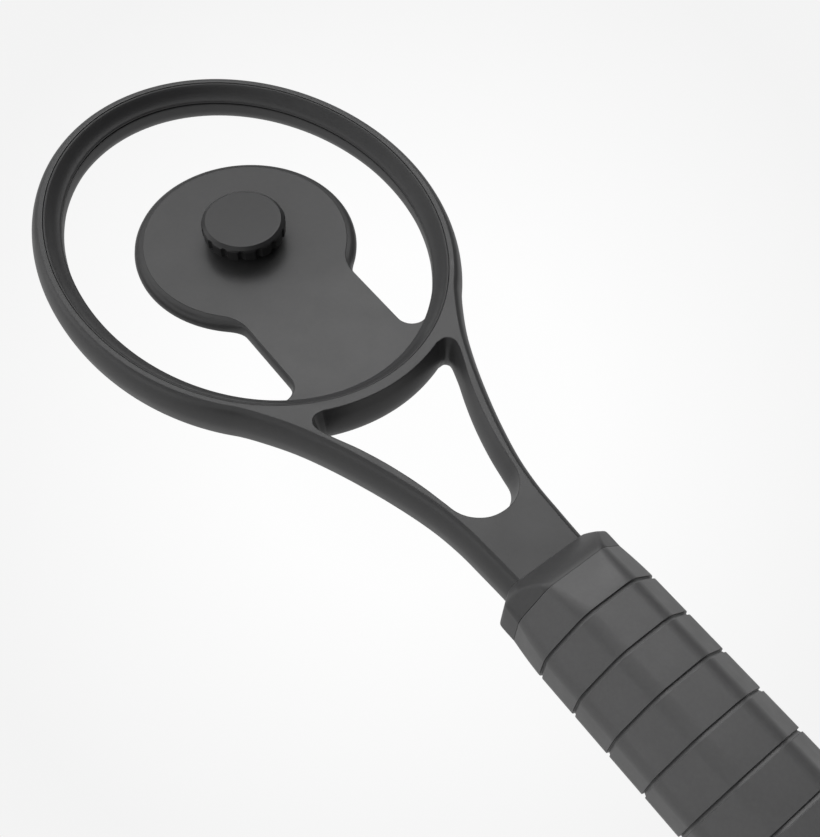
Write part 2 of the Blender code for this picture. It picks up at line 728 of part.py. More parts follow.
def build_ferrule(home):
    rings = []
    for y, u, v in ((-12.0, 2.5, 4.0), (-12.6, 2.8, 4.3), (-18.4, 2.8, 4.3), (-19.0, 2.5, 4.0)):
        rings.append([(x, y, z) for x, z in stadium(u, v)])
    for y in (-19.0, -12.0):
        rings.append([(x, y, z) for x, z in stadium(1.65, 3.15)])
    solid("strap_ferrule", loft(rings, tube=True), home)


def build_lock_body(home, cut):
    at = (0.0, -LOCK_S, 0.0)
    shape = [(4.6, -13.5), (5.8, -12.8), (6.2, -11.0), (6.2, 7.2), (5.9, 8.6), (5.3, 9.0)]
    body = turned("cord_lock_body", shape, home, 28, "X", at)
    boolean(body, rod("lock_bore", 4.3, -11.6, 12.0, cut, 24, "X", at))
    boolean(body, slab("lock_cords", rectangle(3.5, 1.75, 0.3), -12.0, 12.0, cut, "Y", at))


def build_lock_button(home, cut):
    at = (0.0, -LOCK_S, 0.0)
    shape = [(3.7, -5.6), (4.0, -5.3), (4.0, 12.0), (3.7, 12.8), (2.8, 13.2)]
    button = turned("cord_lock_button", shape, home, 24, "X", at)
    window = slab("button_window", rectangle(4.45, 1.75, 0.3), -12.0, 12.0, cut, "Y", (1.05, -LOCK_S, 0.0))
    boolean(button, window)


def build_spring(home):
    """The spring at its pressed length, in the bore of the cord lock."""
    steps, turns, start, length = 38, 3.2, -8.95, 2.8
    points = []
    for i in range(steps + 1):
        t = 2 * math.pi * turns * i / steps
        points.append((start + length * i / steps, SPRING_R * math.cos(t) - LOCK_S, SPRING_R * math.sin(t)))
    wire("cord_lock_spring", points, SPRING_WIRE, home, sides=1)


# ---------------------------------------------------------------- everything


def main():
    clear_scene()
    parts = new_collection("racket_tracker_controller")
    cutters = new_collection("cutters", cutters=True)
    ring_centre = new_empty("ring_centre", None, (0.0, -GRIP_MIDDLE, 0.0))
    strap_hinge = new_empty("strap_hinge", ring_centre, (0.0, PIN_Y, 0.0), (DROOP, 0.0, 0.0))

    plastic = material("frame_plastic", (0.045, 0.046, 0.048), 0.45)
    knob_plastic = material("knob_plastic", (0.035, 0.036, 0.038), 0.5)
    liner_rubber = material("liner_rubber", (0.03, 0.03, 0.032), 0.6)
    grip_rubber = material("grip_rubber", (0.05, 0.051, 0.053), 0.7)
    collar_rubber = material("collar_rubber", (0.04, 0.041, 0.043), 0.6)
    core_plastic = material("core_plastic", (0.06, 0.06, 0.065), 0.6)
    steel = material("steel", (0.55, 0.56, 0.58), 0.3, 1.0)
    brass = material("brass", (0.7, 0.52, 0.25), 0.35, 1.0)
    cord = material("cord_fabric", (0.03, 0.03, 0.032), 0.85)
    accent = material("button_plastic", (0.09, 0.09, 0.095), 0.5)
    cutter = material("cutter", (0.8, 0.3, 0.2), 0.5)
    cut = Home(cutters, ring_centre, cutter)

    def home(mat):
        return Home(parts, ring_centre, mat)

    build_frame(home(plastic), cut)
    build_liner(home(liner_rubber))
    build_knob(home(knob_plastic), cut)
    build_screw(home(steel), cut)
    build_washer(home(brass))
    build_bush(home(brass))
    build_clip(home(steel))
    build_pad(home(liner_rubber), cut)
    build_locating_pin(home(steel))

    build_collar(home(collar_rubber), cut)
    build_sleeve(home(grip_rubber))
    build_core("handle_core_front", 1, home(core_plastic), cut)
    build_core("handle_core_rear", -1, home(core_plastic), cut)
    for number, y in enumerate(SCREW_Y, 1):
        build_core_screw(number, y, home(steel), cut)
        build_core_insert(number, y, home(brass))
    build_weight(home(steel))
    build_cap(home(collar_rubber), cut)
    for number, (x, z) in enumerate(BUTT_SCREWS, 1):
        build_butt_screw(number, x, z, home(steel), cut)
    build_pin(home(steel))

    strap_cut = Home(cutters, strap_hinge, cutter)
    wire("wrist_strap", cord_path(), CORD_R, Home(parts, strap_hinge, cord), closed=True)
    build_ferrule(Home(parts, strap_hinge, steel))
    build_lock_body(Home(parts, strap_hinge, knob_plastic), strap_cut)
    build_lock_button(Home(parts, strap_hinge, accent), strap_cut)
    build_spring(Home(parts, strap_hinge, steel))


main()
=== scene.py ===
"""Looks of the racket-shaped tracker frame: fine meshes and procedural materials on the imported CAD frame.

Meshes are drawn in millimetres from the centre of the ring, +Y towards its tip and +Z to the knob's side,
and the objects put them in their place in metres.
"""

import json
import math

import bmesh
import bpy
import numpy as np
from mathutils import Matrix, Vector


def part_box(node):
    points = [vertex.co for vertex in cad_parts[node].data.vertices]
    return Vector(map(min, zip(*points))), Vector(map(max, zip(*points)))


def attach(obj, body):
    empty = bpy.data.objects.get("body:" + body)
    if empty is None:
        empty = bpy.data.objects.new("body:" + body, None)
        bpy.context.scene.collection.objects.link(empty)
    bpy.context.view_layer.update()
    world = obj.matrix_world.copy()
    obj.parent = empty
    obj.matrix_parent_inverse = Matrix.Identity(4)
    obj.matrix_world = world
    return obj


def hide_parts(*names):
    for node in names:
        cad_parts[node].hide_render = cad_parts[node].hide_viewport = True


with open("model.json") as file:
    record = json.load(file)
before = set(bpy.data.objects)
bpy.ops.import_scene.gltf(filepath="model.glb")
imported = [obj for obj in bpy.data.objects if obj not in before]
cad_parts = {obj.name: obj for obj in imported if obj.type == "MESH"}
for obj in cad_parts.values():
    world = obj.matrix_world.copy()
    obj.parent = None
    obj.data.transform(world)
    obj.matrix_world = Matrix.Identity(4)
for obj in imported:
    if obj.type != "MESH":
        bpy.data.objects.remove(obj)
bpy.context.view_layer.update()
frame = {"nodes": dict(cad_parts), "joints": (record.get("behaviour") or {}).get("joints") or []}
MM = 0.001

# ---------------------------------------------------------------- sizes read from the CAD

bush_low, bush_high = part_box("plate_bush")
frame_low, frame_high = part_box("frame")
CENTRE = Vector(
    (
        (bush_low.x + bush_high.x) / 2,
        (bush_low.y + bush_high.y) / 2,
        (frame_low.z + frame_high.z) / 2,
    )
)


def extent(name, axis):
    """Where a CAD node starts and ends along an axis, in millimetres from the ring's centre."""
    return [((corner - CENTRE) / MM)["XYZ".index(axis)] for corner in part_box(name)]


TOP = extent("frame", "Z")[1]  # half of the frame's thickness
BULGE = 4.3  # how far the wall stands outside the edge of the ring's front face
RING_A, RING_B = extent("frame", "X")[1] - BULGE, extent("frame", "Y")[1] - BULGE
HUB_LOW, KNOB_TOP = extent("knob", "Z")
SCREW_END, SCREW_TOP = extent("thumb_screw", "Z")
COLLAR_REAR, COLLAR_FRONT = extent("grip_collar", "Y")
SLEEVE_REAR, SLEEVE_FRONT = extent("grip_sleeve", "Y")
GRIP_W, GRIP_H = extent("grip_sleeve", "X")[1], extent("grip_sleeve", "Z")[1]
CAP_REAR, SPIGOT_END = extent("butt_cap", "Y")
PIN_Y = sum(extent("strap_pin", "Y")) / 2
LOOP_HALF = extent("wrist_strap", "X")[1]
STRAP_REAR = extent("wrist_strap", "Y")[0]
slide_axis = next(j["axis"] for j in frame["joints"] if j["name"] == "lock_slide")
DROOP = math.asin(-slide_axis[2])

# Frame
THROAT_RIM = 3.2  # how far the throat starts outside the edge of the ring's front face
LEAN, LEAN_START, LEAN_RUN = 0.4, -70.0, 12.0  # how far the throat's wall leans out, and where that sets in
LEDGE_IN = 4.3  # the ledge under the liner
NECK_HALF, NECK_END = 12.3, -141.0
PLATE_R, PLATE_NECK, PLATE_FILLET, PLATE_CORNER = 30.0, 18.0, 12.0, 5.2
FILLET_Y = -math.sqrt((PLATE_R + PLATE_FILLET) ** 2 - (PLATE_NECK + PLATE_FILLET) ** 2)
PLATE_FLARE = 0.3  # share of the plate's edge profile that is left on its neck
TANG_HALF, TANG_HALF_Z, TANG_END = 9.0, 4.0, -196.0
BUSH_SEAT_R = 5.3
PIN_AT, PIN_SEAT_R = (0.0, -14.0, 0.0), 2.3  # locating pin
WALL_STEP, THROAT_STEP, PLATE_STEP = 1.3, 0.75, 1.1  # how far apart points are round the outlines
# Knob and screw
KNOB_R, RIM_LOW = 12.3, HUB_LOW + 2.1
FLUTES, FLUTE_HALF, FLUTE_DEEP, FLUTE_TURN = 15, 1.05, 0.8, math.radians(-6.0)
FLUTE_STEPS, KNOB_STEP = 26, 0.16  # points across a groove's pitch, and how far apart they are up the side
HEX_POCKET, HEX_HEAD = 9.6, 9.0  # across flats
THREAD_PITCH, THREAD_R, THREAD_DEEP = 1.27, 3.1, 0.62
CLIP_TOP, CLIP_LOW = -4.1, -5.2  # the clip's groove in the screw
SCREW_PLAY, BUSH_R = 3.5, 7.5  # the bush's bore and its flange
# Grip: half width and height of the octagon, half lengths of its facets, and the corners' radius
GRIP_A, GRIP_B, GRIP_ROUND = 7.7, 6.0, 7.0
SEAM_W, SEAM_H, SEAM_A, SEAM_B, SEAM_ROUND = 16.5, 14.7, 8.6, 6.2, 4.5
# What the collar's slope leaves round the neck, and how much of it goes off the corners
COLLAR_LIP_X, COLLAR_LIP_Z, COLLAR_CUT = 0.6, 0.4, 3.7
FIRST_GROOVE, GROOVE_PITCH, GROOVES = -153.5, 11.55, 11
BUTT_SCREWS = ((10.6, 3.6), (-10.6, -3.6))
SLOT_HALF_X, SLOT_HALF_Z, SLOT_ROUND, SLOT_MOUTH = 3.1, 9.5, 1.2, 1.0
# Strap
PIN_R, CORD_R = 1.5, 1.3
LOOP_START, LOCK_S = 80.0, 43.0  # distances from the pin along the cord
STRANDS, BRAID_DEEP = 6, 0.2


# ---------------------------------------------------------------- outlines


def arc(cx, cy, r, start, end, count):
    """Points on an arc, angles in degrees, both ends included."""
    t = np.radians(np.linspace(start, end, count + 1))
    return np.column_stack((cx + r * np.cos(t), cy + r * np.sin(t)))


def oval(a, b, start, end, count):
    """Points on an oval round the ring's centre, in the same way."""
    t = np.radians(np.linspace(start, end, count + 1))
    return np.column_stack((a * np.cos(t), b * np.sin(t)))


def curve_through(points, per):
    """A Catmull-Rom curve through the points, without the first and the last one, which only steer it."""
    p = np.array(points, float)
    t = (np.arange(per) / per)[:, None]
    out = []
    for i in range(1, len(p) - 2):
        p0, p1, p2, p3 = p[i - 1 : i + 3]
        q = 2 * p1 + (p2 - p0) * t + (2 * p0 - 5 * p1 + 4 * p2 - p3) * t**2
        out.append((q + (3 * p1 - p0 - 3 * p2 + p3) * t**3) / 2)
    out.append(p[-2:-1])
    return np.concatenate(out)


def mirrored(half):
    """Closes a right-hand half outline that runs from +Y to -Y with its mirror image."""
    left = half[::-1] * (-1, 1)
    return np.concatenate((half, left[np.abs(left[:, 0]) > 1e-6]))


def spread(loop, step):
    """Spreads points evenly round a closed outline."""
    pts = np.concatenate((loop, loop[:1]))
    length = np.concatenate(([0.0], np.cumsum(np.linalg.norm(np.diff(pts, axis=0), axis=1))))
    want = np.linspace(0, length[-1], max(8, round(length[-1] / step)), endpoint=False)
    return np.column_stack((np.interp(want, length, pts[:, 0]), np.interp(want, length, pts[:, 1])))


def ease(t):
    """Runs from 0 to 1 with a soft start and end."""
    t = np.clip(t, 0, 1)
    return t * t * (3 - 2 * t)


def outward(loop):
    """Unit normals pointing out of a closed outline."""
    t = np.roll(loop, -1, axis=0) - np.roll(loop, 1, axis=0)
    t /= np.linalg.norm(t, axis=1)[:, None]
    after = np.roll(loop, -1, axis=0)
    area = (loop[:, 0] * after[:, 1] - after[:, 0] * loop[:, 1]).sum()
    return np.column_stack((t[:, 1], -t[:, 0])) * (1.0 if area > 0 else -1.0)


def soften(points, radius, count=4, closed=False):
    """Rounds the corners of a line of points. Where the sides are short the radius shrinks."""
    pts = [Vector(p) for p in points]
    out = []
    for i, p in enumerate(pts):
        if not closed and i in (0, len(pts) - 1):
            out.append(tuple(p))
            continue
        a, b = pts[i - 1] - p, pts[(i + 1) % len(pts)] - p
        half = a.angle(b) / 2
        reach = min(radius / math.tan(half), a.length * 0.46, b.length * 0.46)
        if math.degrees(half) > 88:
            out.extend([tuple(p)] * (count + 1))
            continue
        centre = p + (a.normalized() + b.normalized()).normalized() * (reach / math.cos(half))
        start, end = p + a.normalized() * reach - centre, p + b.normalized() * reach - centre
        turn = start.angle(end)
        for k in range(count + 1):
            t = turn * k / count
            out.append(tuple(centre + (start * math.sin(turn - t) + end * math.sin(t)) / math.sin(turn)))
    return np.array(out)


# ---------------------------------------------------------------- meshes


def skin(rows, wrap=False):
    """Points and faces of a skin over closed rings of equal count. It has end faces unless it is wrapped."""
    rows = np.array(rows, float)
    count, size = rows.shape[:2]
    i = np.arange(size)
    j = np.roll(i, -1)
    faces = []
    for a in range(count if wrap else count - 1):
        b = (a + 1) % count
        faces.extend(np.column_stack((a * size + i, a * size + j, b * size + j, b * size + i)).tolist())
    if not wrap:
        faces.append(list(range(size)))
        faces.append(list(range((count - 1) * size, count * size)))
    return rows.reshape(-1, 3), faces


def on_axis(u, v, w, axis, at=(0.0, 0.0, 0.0)):
    """Points with w along an axis, and u and v across it."""
    u, v, w = np.broadcast_arrays(u, v, w)
    order = {"X": (w, u, v), "Y": (v, w, u), "Z": (u, v, w)}[axis]
    return np.stack(order, axis=-1) + np.array(at)


def turned(profile, steps=64, axis="Z", at=(0.0, 0.0, 0.0), tube=False, round_off=0.2):
    """A turned solid with softened edges, from (radius, height) pairs. A tube's profile is closed."""
    profile = soften(profile, round_off, 4, closed=tube)
    t = np.linspace(0, 2 * math.pi, steps, endpoint=False)
    rows = [on_axis(r * np.cos(t), r * np.sin(t), h, axis, at) for r, h in profile]
    return skin(rows, wrap=tube)


def prism(outline, low, high, axis="Z", at=(0.0, 0.0, 0.0), round_off=0.0):
    """A prism over an outline of points in X and Y, or in X and Z where it runs along Y."""
    outline = np.array(outline, float)
    if axis == "Y":
        outline = outline[:, ::-1]
    steps = [(0.0, low), (0.0, high)]
    if round_off:
        steps = [(-round_off, low), (0.0, low + round_off), (0.0, high - round_off), (-round_off, high)]
    normals = outward(outline)
    rows = []
    for off, h in steps:
        ring = outline + normals * off
        rows.append(on_axis(ring[:, 0], ring[:, 1], h, axis, at))
    return skin(rows)


def hexagon(across_flats, radius=0.3):
    """Outline of a hexagon with rounded corners."""
    r = across_flats / math.sqrt(3)
    return soften(oval(r, r, 0, 300, 5), radius, 3, closed=True)


def box_outline(half_u, half_v, radius):
    """Outline of a rectangle with rounded corners."""
    corners = [(-half_u, -half_v), (half_u, -half_v), (half_u, half_v), (-half_u, half_v)]
    return soften(corners, radius, 5, closed=True)


def weld(mesh, turn_out=False):
    """Joins points that lie on top of each other, and can turn the faces outward."""
    bm = bmesh.new()
    bm.from_mesh(mesh)
    bmesh.ops.remove_doubles(bm, verts=bm.verts, dist=2e-7)
    if turn_out:
        bmesh.ops.recalc_face_normals(bm, faces=bm.faces)
    bm.to_mesh(mesh)
    bm.free()


def new_object(name, shape):
    """An object in metres from points in millimetres, with its faces pointing out."""
    points, faces = shape
    mesh = bpy.data.meshes.new(name)
    mesh.from_pydata((np.array(points) * MM).tolist(), [], faces)
    weld(mesh, turn_out=True)
    obj = bpy.data.objects.new(name, mesh)
    bpy.context.scene.collection.objects.link(obj)
    obj.location = CENTRE
    return obj


def combine(obj, shape, operation="DIFFERENCE"):
    """Cuts a shape from an object or joins it on, and keeps the result as the object's own mesh."""
    tool = new_object("tool", shape)
    mod = obj.modifiers.new("combine", "BOOLEAN")
    mod.operation = operation
    mod.solver = "EXACT"
    mod.object = tool
    bpy.context.view_layer.update()
    graph = bpy.context.evaluated_depsgraph_get()
    mesh = bpy.data.meshes.new_from_object(obj.evaluated_get(graph))
    weld(mesh)
    obj.modifiers.clear()
    old = obj.data
    obj.data = mesh
    bpy.data.meshes.remove(old)
    bpy.data.objects.remove(tool, do_unlink=True)


def dress(obj, material, body, nodes, sharp=38.0):
    """Shades a finished piece, gives it its material and sets it on its CAD body."""
    mesh = obj.data
    mesh.materials.clear()
    mesh.materials.append(material)
    mesh.shade_smooth()
    mesh.set_sharp_from_angle(angle=math.radians(sharp))
    mod = obj.modifiers.new("face_weighted_normals", "WEIGHTED_NORMAL")
    mod.keep_sharp = True
    mod.weight = 50
    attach(obj, body)
    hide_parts(*nodes)
    return obj


# ---------------------------------------------------------------- materials


def set_range(node, source, target):
    """Sets the two ranges of a Map Range node."""
    for socket, number in zip(("From Min", "From Max", "To Min", "To Max"), (*source, *target)):
        node.inputs[socket].default_value = number


class Shader:
    """A Principled material with short calls for the nodes that feed it."""

    def __init__(self, name, colour, rough, metallic=0.0):
        self.material = bpy.data.materials.new(name)
        self.material.use_nodes = True
        self.tree = self.material.node_tree
        self.main = self.tree.nodes["Principled BSDF"]
        self.main.inputs["Metallic"].default_value = metallic
        self.place = self.add("ShaderNodeTexCoord").outputs["Object"]
        self.colour = self.add("ShaderNodeRGB").outputs[0]
        self.colour.default_value = (*colour, 1.0)
        self.rough = self.value(rough)
        self.normal = None

    def add(self, kind, **settings):
        node = self.tree.nodes.new(kind)
        for key, val in settings.items():
            setattr(node, key, val)
        return node

    def link(self, source, target):
        self.tree.links.new(source, target)

    def value(self, number):
        node = self.add("ShaderNodeValue")
        node.outputs[0].default_value = number
        return node.outputs[0]

    def noise(self, size, detail=3.0, stretch=(1.0, 1.0, 1.0), place=None):
        """Noise whose features are about size millimetres across."""
        mapping = self.add("ShaderNodeMapping")
        mapping.inputs["Scale"].default_value = stretch
        self.link(place or self.place, mapping.inputs["Vector"])
        node = self.add("ShaderNodeTexNoise")
        node.inputs["Scale"].default_value = 1 / (size * MM)
        node.inputs["Detail"].default_value = detail
        self.link(mapping.outputs[0], node.inputs["Vector"])
        return node.outputs["Fac"]

    def remap(self, source, low, high, to_low, to_high):
        node = self.add("ShaderNodeMapRange")
        set_range(node, (low, high), (to_low, to_high))
        self.link(source, node.inputs["Value"])
        return node.outputs[0]

    def signed(self, source, reach=0.2):
        """A value that varies round a half, made to run from -1 to 1."""
        return self.remap(source, 0.5 - reach, 0.5 + reach, -1.0, 1.0)

    def clouds(self, size, detail=4.0, reach=0.2):
        return self.signed(self.noise(size, detail), reach)

    def math(self, kind, one, two):
        node = self.add("ShaderNodeMath", operation=kind)
        for socket, source in zip(node.inputs, (one, two)):
            if isinstance(source, (int, float)):
                socket.default_value = source
            else:
                self.link(source, socket)
        return node.outputs[0]

    def tint(self, factor, amount):
        """Makes the colour lighter by amount where factor is 1."""
        node = self.add("ShaderNodeVectorMath", operation="SCALE")
        self.link(self.colour, node.inputs[0])
        self.link(self.math("ADD", 1.0, self.math("MULTIPLY", factor, amount)), node.inputs["Scale"])
        self.colour = node.outputs[0]

    def roughen(self, factor, amount):
        self.rough = self.math("ADD", self.rough, self.math("MULTIPLY", factor, amount))

    def edges(self, low, high):
        """1 on outside edges and 0 on flats."""
        pointed = self.add("ShaderNodeNewGeometry").outputs["Pointiness"]
        return self.remap(pointed, low, high, 0.0, 1.0)

    def bump(self, height, strength, depth_mm):
        node = self.add("ShaderNodeBump")
        node.inputs["Strength"].default_value = strength
        node.inputs["Distance"].default_value = depth_mm * MM
        self.link(height, node.inputs["Height"])
        if self.normal:
            self.link(self.normal, node.inputs["Normal"])
        self.normal = node.outputs[0]

    def finish(self):
        self.link(self.colour, self.main.inputs["Base Color"])
        self.link(self.rough, self.main.inputs["Roughness"])
        if self.normal:
            self.link(self.normal, self.main.inputs["Normal"])
        return self.material


def moulded_plastic(name, colour, rough, grain=0.22, depth=0.012):
    """Satin moulded plastic: fine spark-eroded grain, faint clouds and slightly polished edges."""
    s = Shader(name, colour, rough)
    s.tint(s.clouds(28.0, 2.0, 0.15), 0.035)
    s.tint(s.clouds(1.6), 0.03)
    worn = s.edges(0.52, 0.62)
    s.tint(s.math("MULTIPLY", worn, s.noise(5.0, 3.0)), 0.22)
    s.roughen(worn, -0.08)
    s.roughen(s.clouds(9.0), 0.03)
    s.bump(s.noise(grain, 2.0), 0.35, depth)
    return s.finish()


def soft_rubber(name, colour, rough, grain=0.3, depth=0.02):
    """Matt rubber with a fine pebble and a little dust in the texture."""
    s = Shader(name, colour, rough)
    cells = s.add("ShaderNodeTexVoronoi")
    cells.inputs["Scale"].default_value = 1 / (grain * MM)
    s.link(s.place, cells.inputs["Vector"])
    s.tint(s.clouds(18.0, 2.0, 0.15), 0.03)
    s.tint(s.clouds(0.9), 0.04)
    s.tint(s.edges(0.52, 0.64), 0.12)
    s.roughen(s.clouds(6.0), 0.04)
    s.bump(cells.outputs["Distance"], 0.25, depth)
    s.bump(s.noise(0.12, 2.0), 0.2, depth / 2)
    return s.finish()


def turned_metal(name, colour, rough, centre_mm, axis="Z"):
    """Bare metal with fine turning marks round an axis, small scratches and brighter edges."""
    s = Shader(name, colour, rough, 1.0)
    shift = s.add("ShaderNodeMapping")
    shift.inputs["Location"].default_value = Vector(centre_mm) * -MM
    s.link(s.place, shift.inputs["Vector"])
    parts = s.add("ShaderNodeSeparateXYZ")
    s.link(shift.outputs[0], parts.inputs[0])
    across = {"X": (1, 2), "Y": (0, 2), "Z": (0, 1)}[axis]
    squares = [s.math("POWER", parts.outputs[i], 2.0) for i in across]
    radius = s.math("SQRT", s.math("ADD", *squares), 0.0)
    along = parts.outputs["XYZ".index(axis)]
    rings = s.add("ShaderNodeCombineXYZ")
    s.link(radius, rings.inputs[0])
    s.link(along, rings.inputs[1])
    marks = s.noise(0.09, 2.0, place=rings.outputs[0])
    s.tint(s.signed(marks), 0.08)
    s.tint(s.clouds(3.0, 3.0), 0.08)
    s.roughen(s.signed(marks), 0.06)
    s.roughen(s.edges(0.52, 0.62), -0.08)
    s.bump(marks, 0.3, 0.01)
    return s.finish()


def braided_cord(name, colour):
    """Cord yarn: fine fibres, with a painted highlight on the top of each strand and painted shade in the
    gaps between the strands.
    """
    s = Shader(name, colour, 0.82)
    painted_crown_light = s.edges(0.45, 0.58)
    # painted highlight on the top of each strand; the gaps between the strands stay darker as painted shade
    s.tint(painted_crown_light, 0.7)
    s.tint(s.clouds(0.5), 0.18)
    fibres = s.noise(0.06, 3.0, stretch=(1.0, 0.35, 1.0))
    s.tint(s.signed(fibres), 0.15)
    s.bump(fibres, 0.6, 0.03)
    s.main.inputs["Sheen Weight"].default_value = 0.25
    s.main.inputs["Sheen Roughness"].default_value = 0.4
    return s.finish()


# ---------------------------------------------------------------- frame

# Profiles of the walls: (distance outward from the outline, height) pairs.
OUTER_PROFILE = (
    (-3.3, 6.3),
    (-3.0, 6.29),
    (-2.6, 6.15),
    (-1.8, 5.6),
    (-1.1, 4.6),
    (-0.4, 2.8),
    (0.0, 0.3),
    (-0.2, -2.2),
    (-0.7, -4.6),
    (-1.3, -5.8),
    (-2.3, -6.3),
    (-3.5, -6.3),
)
RING_PROFILE = (
    (0.35, 6.3),
    (0.1, 6.2),
    (0.0, 5.95),
    (0.0, 1.25),
    (-0.1, 1.15),
    (-4.1, 1.15),
    (-4.35, 1.0),
    (-4.5, 0.6),
    (-4.5, -1.5),
    (-4.35, -2.4),
    (-3.9, -3.6),
    (-3.0, -4.9),
    (-1.9, -5.8),
    (-0.8, -6.2),
    (0.2, -6.3),
)
THROAT_PROFILE = (
    (0.55, 6.3),
    (0.35, 6.3),
    (0.12, 6.2),
    (0.0, 5.95),
    (-0.45, 4.4),
    (-1.1, 2.4),
    (-1.65, -0.4),
    (-1.6, -2.8),
    (-1.0, -4.9),
    (0.0, -6.05),
    (0.9, -6.3),
    (2.0, -6.3),
)
PLATE_EDGE = (
    (0.0, 1.2),
    (0.22, 1.02),
    (1.0, 0.85),
    (1.8, 0.45),
    (2.45, -0.15),
    (2.85, -0.9),
    (3.0, -1.6),
    (2.95, -2.2),
    (2.6, -2.7),
    (1.9, -2.9),
)
LINER_PROFILE = (
    (-0.12, 1.4),
    (-4.05, 1.4),
    (-4.3, 1.52),
    (-4.45, 1.9),
    (-4.3, 2.25),
    (-3.9, 2.45),
    (-3.3, 2.75),
    (-2.6, 3.3),
    (-1.9, 4.15),
    (-1.3, 5.1),
    (-0.75, 5.8),
    (-0.4, 6.0),
    (-0.12, 6.0),
)


def outer_outline():
    """Outer edge of the ring, the arms and the neck, at the widest level of the wall."""
    half = oval(RING_A + BULGE, RING_B + BULGE, 90, -49, 180)
    stations = [tuple(half[-9]), tuple(half[-1]), (34.9, -59.9), (30.1, -67.6), (26.2, -75.4)]
    stations += [(22.2, -84.9), (18.2, -96.0), (14.9, -107.5), (13.3, -117.0), (12.7, -126.0)]
    stations += [(NECK_HALF, -134.0), (NECK_HALF, NECK_END + 1.5), (11.6, NECK_END + 0.4)]
    half = np.concatenate((half, curve_through(stations, 16)[1:]))
    end = [(10.4, NECK_END), (3.0, NECK_END)]
    return mirrored(np.concatenate((half, end)))


def ring_outline():
    """Edge of the ring's opening, on its front face."""
    return spread(oval(RING_A, RING_B, 0, 360, 1200)[:-1], WALL_STEP)


def throat_outline():
    """The opening between the arms: an arc along the ring, two curved sides and a round end."""
    top = oval(RING_A + THROAT_RIM, RING_B + THROAT_RIM, -90, -70.3, 30)
    sides = [(17.0, -68.2), (19.5, -67.4), (21.6, -67.3), (23.1, -68.5), (23.4, -70.9), (21.4, -76.3)]
    sides += [(18.4, -83.0), (15.9, -89.4), (13.9, -95.6), (12.3, -101.6), (11.1, -107.4), (10.1, -111.8)]
    sides += [(7.9, -115.2), (4.3, -117.7), (0.0, -118.5), (-4.3, -117.7)]
    return mirrored(np.concatenate((top, curve_through(sides, 10))))


def wall_touch(width, radius):
    """Where a fillet of this radius touches both the ring's inner wall and the side of the plate's neck."""
    low, high = -1.5, -0.6  # angles on the ring to search between
    reach = LEDGE_IN - 0.4
    for _ in range(50):
        t = (low + high) / 2
        n = Vector((RING_B * math.cos(t), RING_A * math.sin(t))).normalized()
        p = Vector((RING_A * math.cos(t), RING_B * math.sin(t))) - n * reach
        centre = p - n * radius
        low, high = (low, t) if centre.x > width + radius else (t, high)
    return p, centre, n


def plate_outline():
    """Disc, neck, and the corners that run out into the ring's wall."""
    fillet_x = PLATE_NECK + PLATE_FILLET
    meet = math.degrees(math.atan2(FILLET_Y, fillet_x))
    touch, centre, n = wall_touch(PLATE_NECK, PLATE_CORNER)
    end = math.degrees(math.atan2(n.y, n.x)) + 360
    half = [
        arc(0, 0, PLATE_R, 90, meet, 90),
        arc(fillet_x, FILLET_Y, PLATE_FILLET, 180 + meet, 180, 20)[1:],
        arc(centre.x, centre.y, PLATE_CORNER, 180, end, 20),
        np.array([touch + n * 1.2]),  # from here on the outline is hidden inside the wall
        oval(RING_A - 2.4, RING_B - 2.4, -65, -90, 20),
    ]
    return mirrored(np.concatenate(half))


def plate_flare(loop):
    """How much of the plate's edge profile is used at each point: all of it on the disc, less on the neck."""
    disc_y = FILLET_Y * PLATE_R / (PLATE_R + PLATE_FILLET)
    t = ease((loop[:, 1] - FILLET_Y) / (disc_y - FILLET_Y))
    return (PLATE_FLARE + (1 - PLATE_FLARE) * t)[:, None]


def throat_lean(loop):
    """How far the throat's wall leans out at each point, from half its depth to its rear edge."""
    return (LEAN * ease((LEAN_START - loop[:, 1]) / LEAN_RUN))[:, None]


def swept_wall(bm, loop, profile, reach=1.0, lean=0.0):
    """A wall that follows an outline. Returns its first and its last ring of points."""
    normals = outward(loop)
    rows = []
    for off, z in profile:
        ring = loop + normals * (off * reach - lean * z / TOP)
        rows.append([bm.verts.new((x, y, z)) for x, y in ring])
    for one, two in zip(rows, rows[1:]):
        for i in range(len(one)):
            bm.faces.new((one[i - 1], one[i], two[i], two[i - 1]))
    return rows[0], rows[-1]


def fill_between(bm, rings, normal):
    """A flat face between rings of points."""
    edges = [bm.edges.get((ring[i - 1], ring[i])) for ring in rings for i in range(len(ring))]
    bmesh.ops.triangle_fill(bm, use_beauty=True, edges=edges, normal=normal)


def take(bm):
    """Points and faces of a bmesh, which it frees."""
    bm.verts.index_update()
    points = np.array([v.co for v in bm.verts])
    faces = [[v.index for v in f.verts] for f in bm.faces]
    bm.free()
    return points, faces


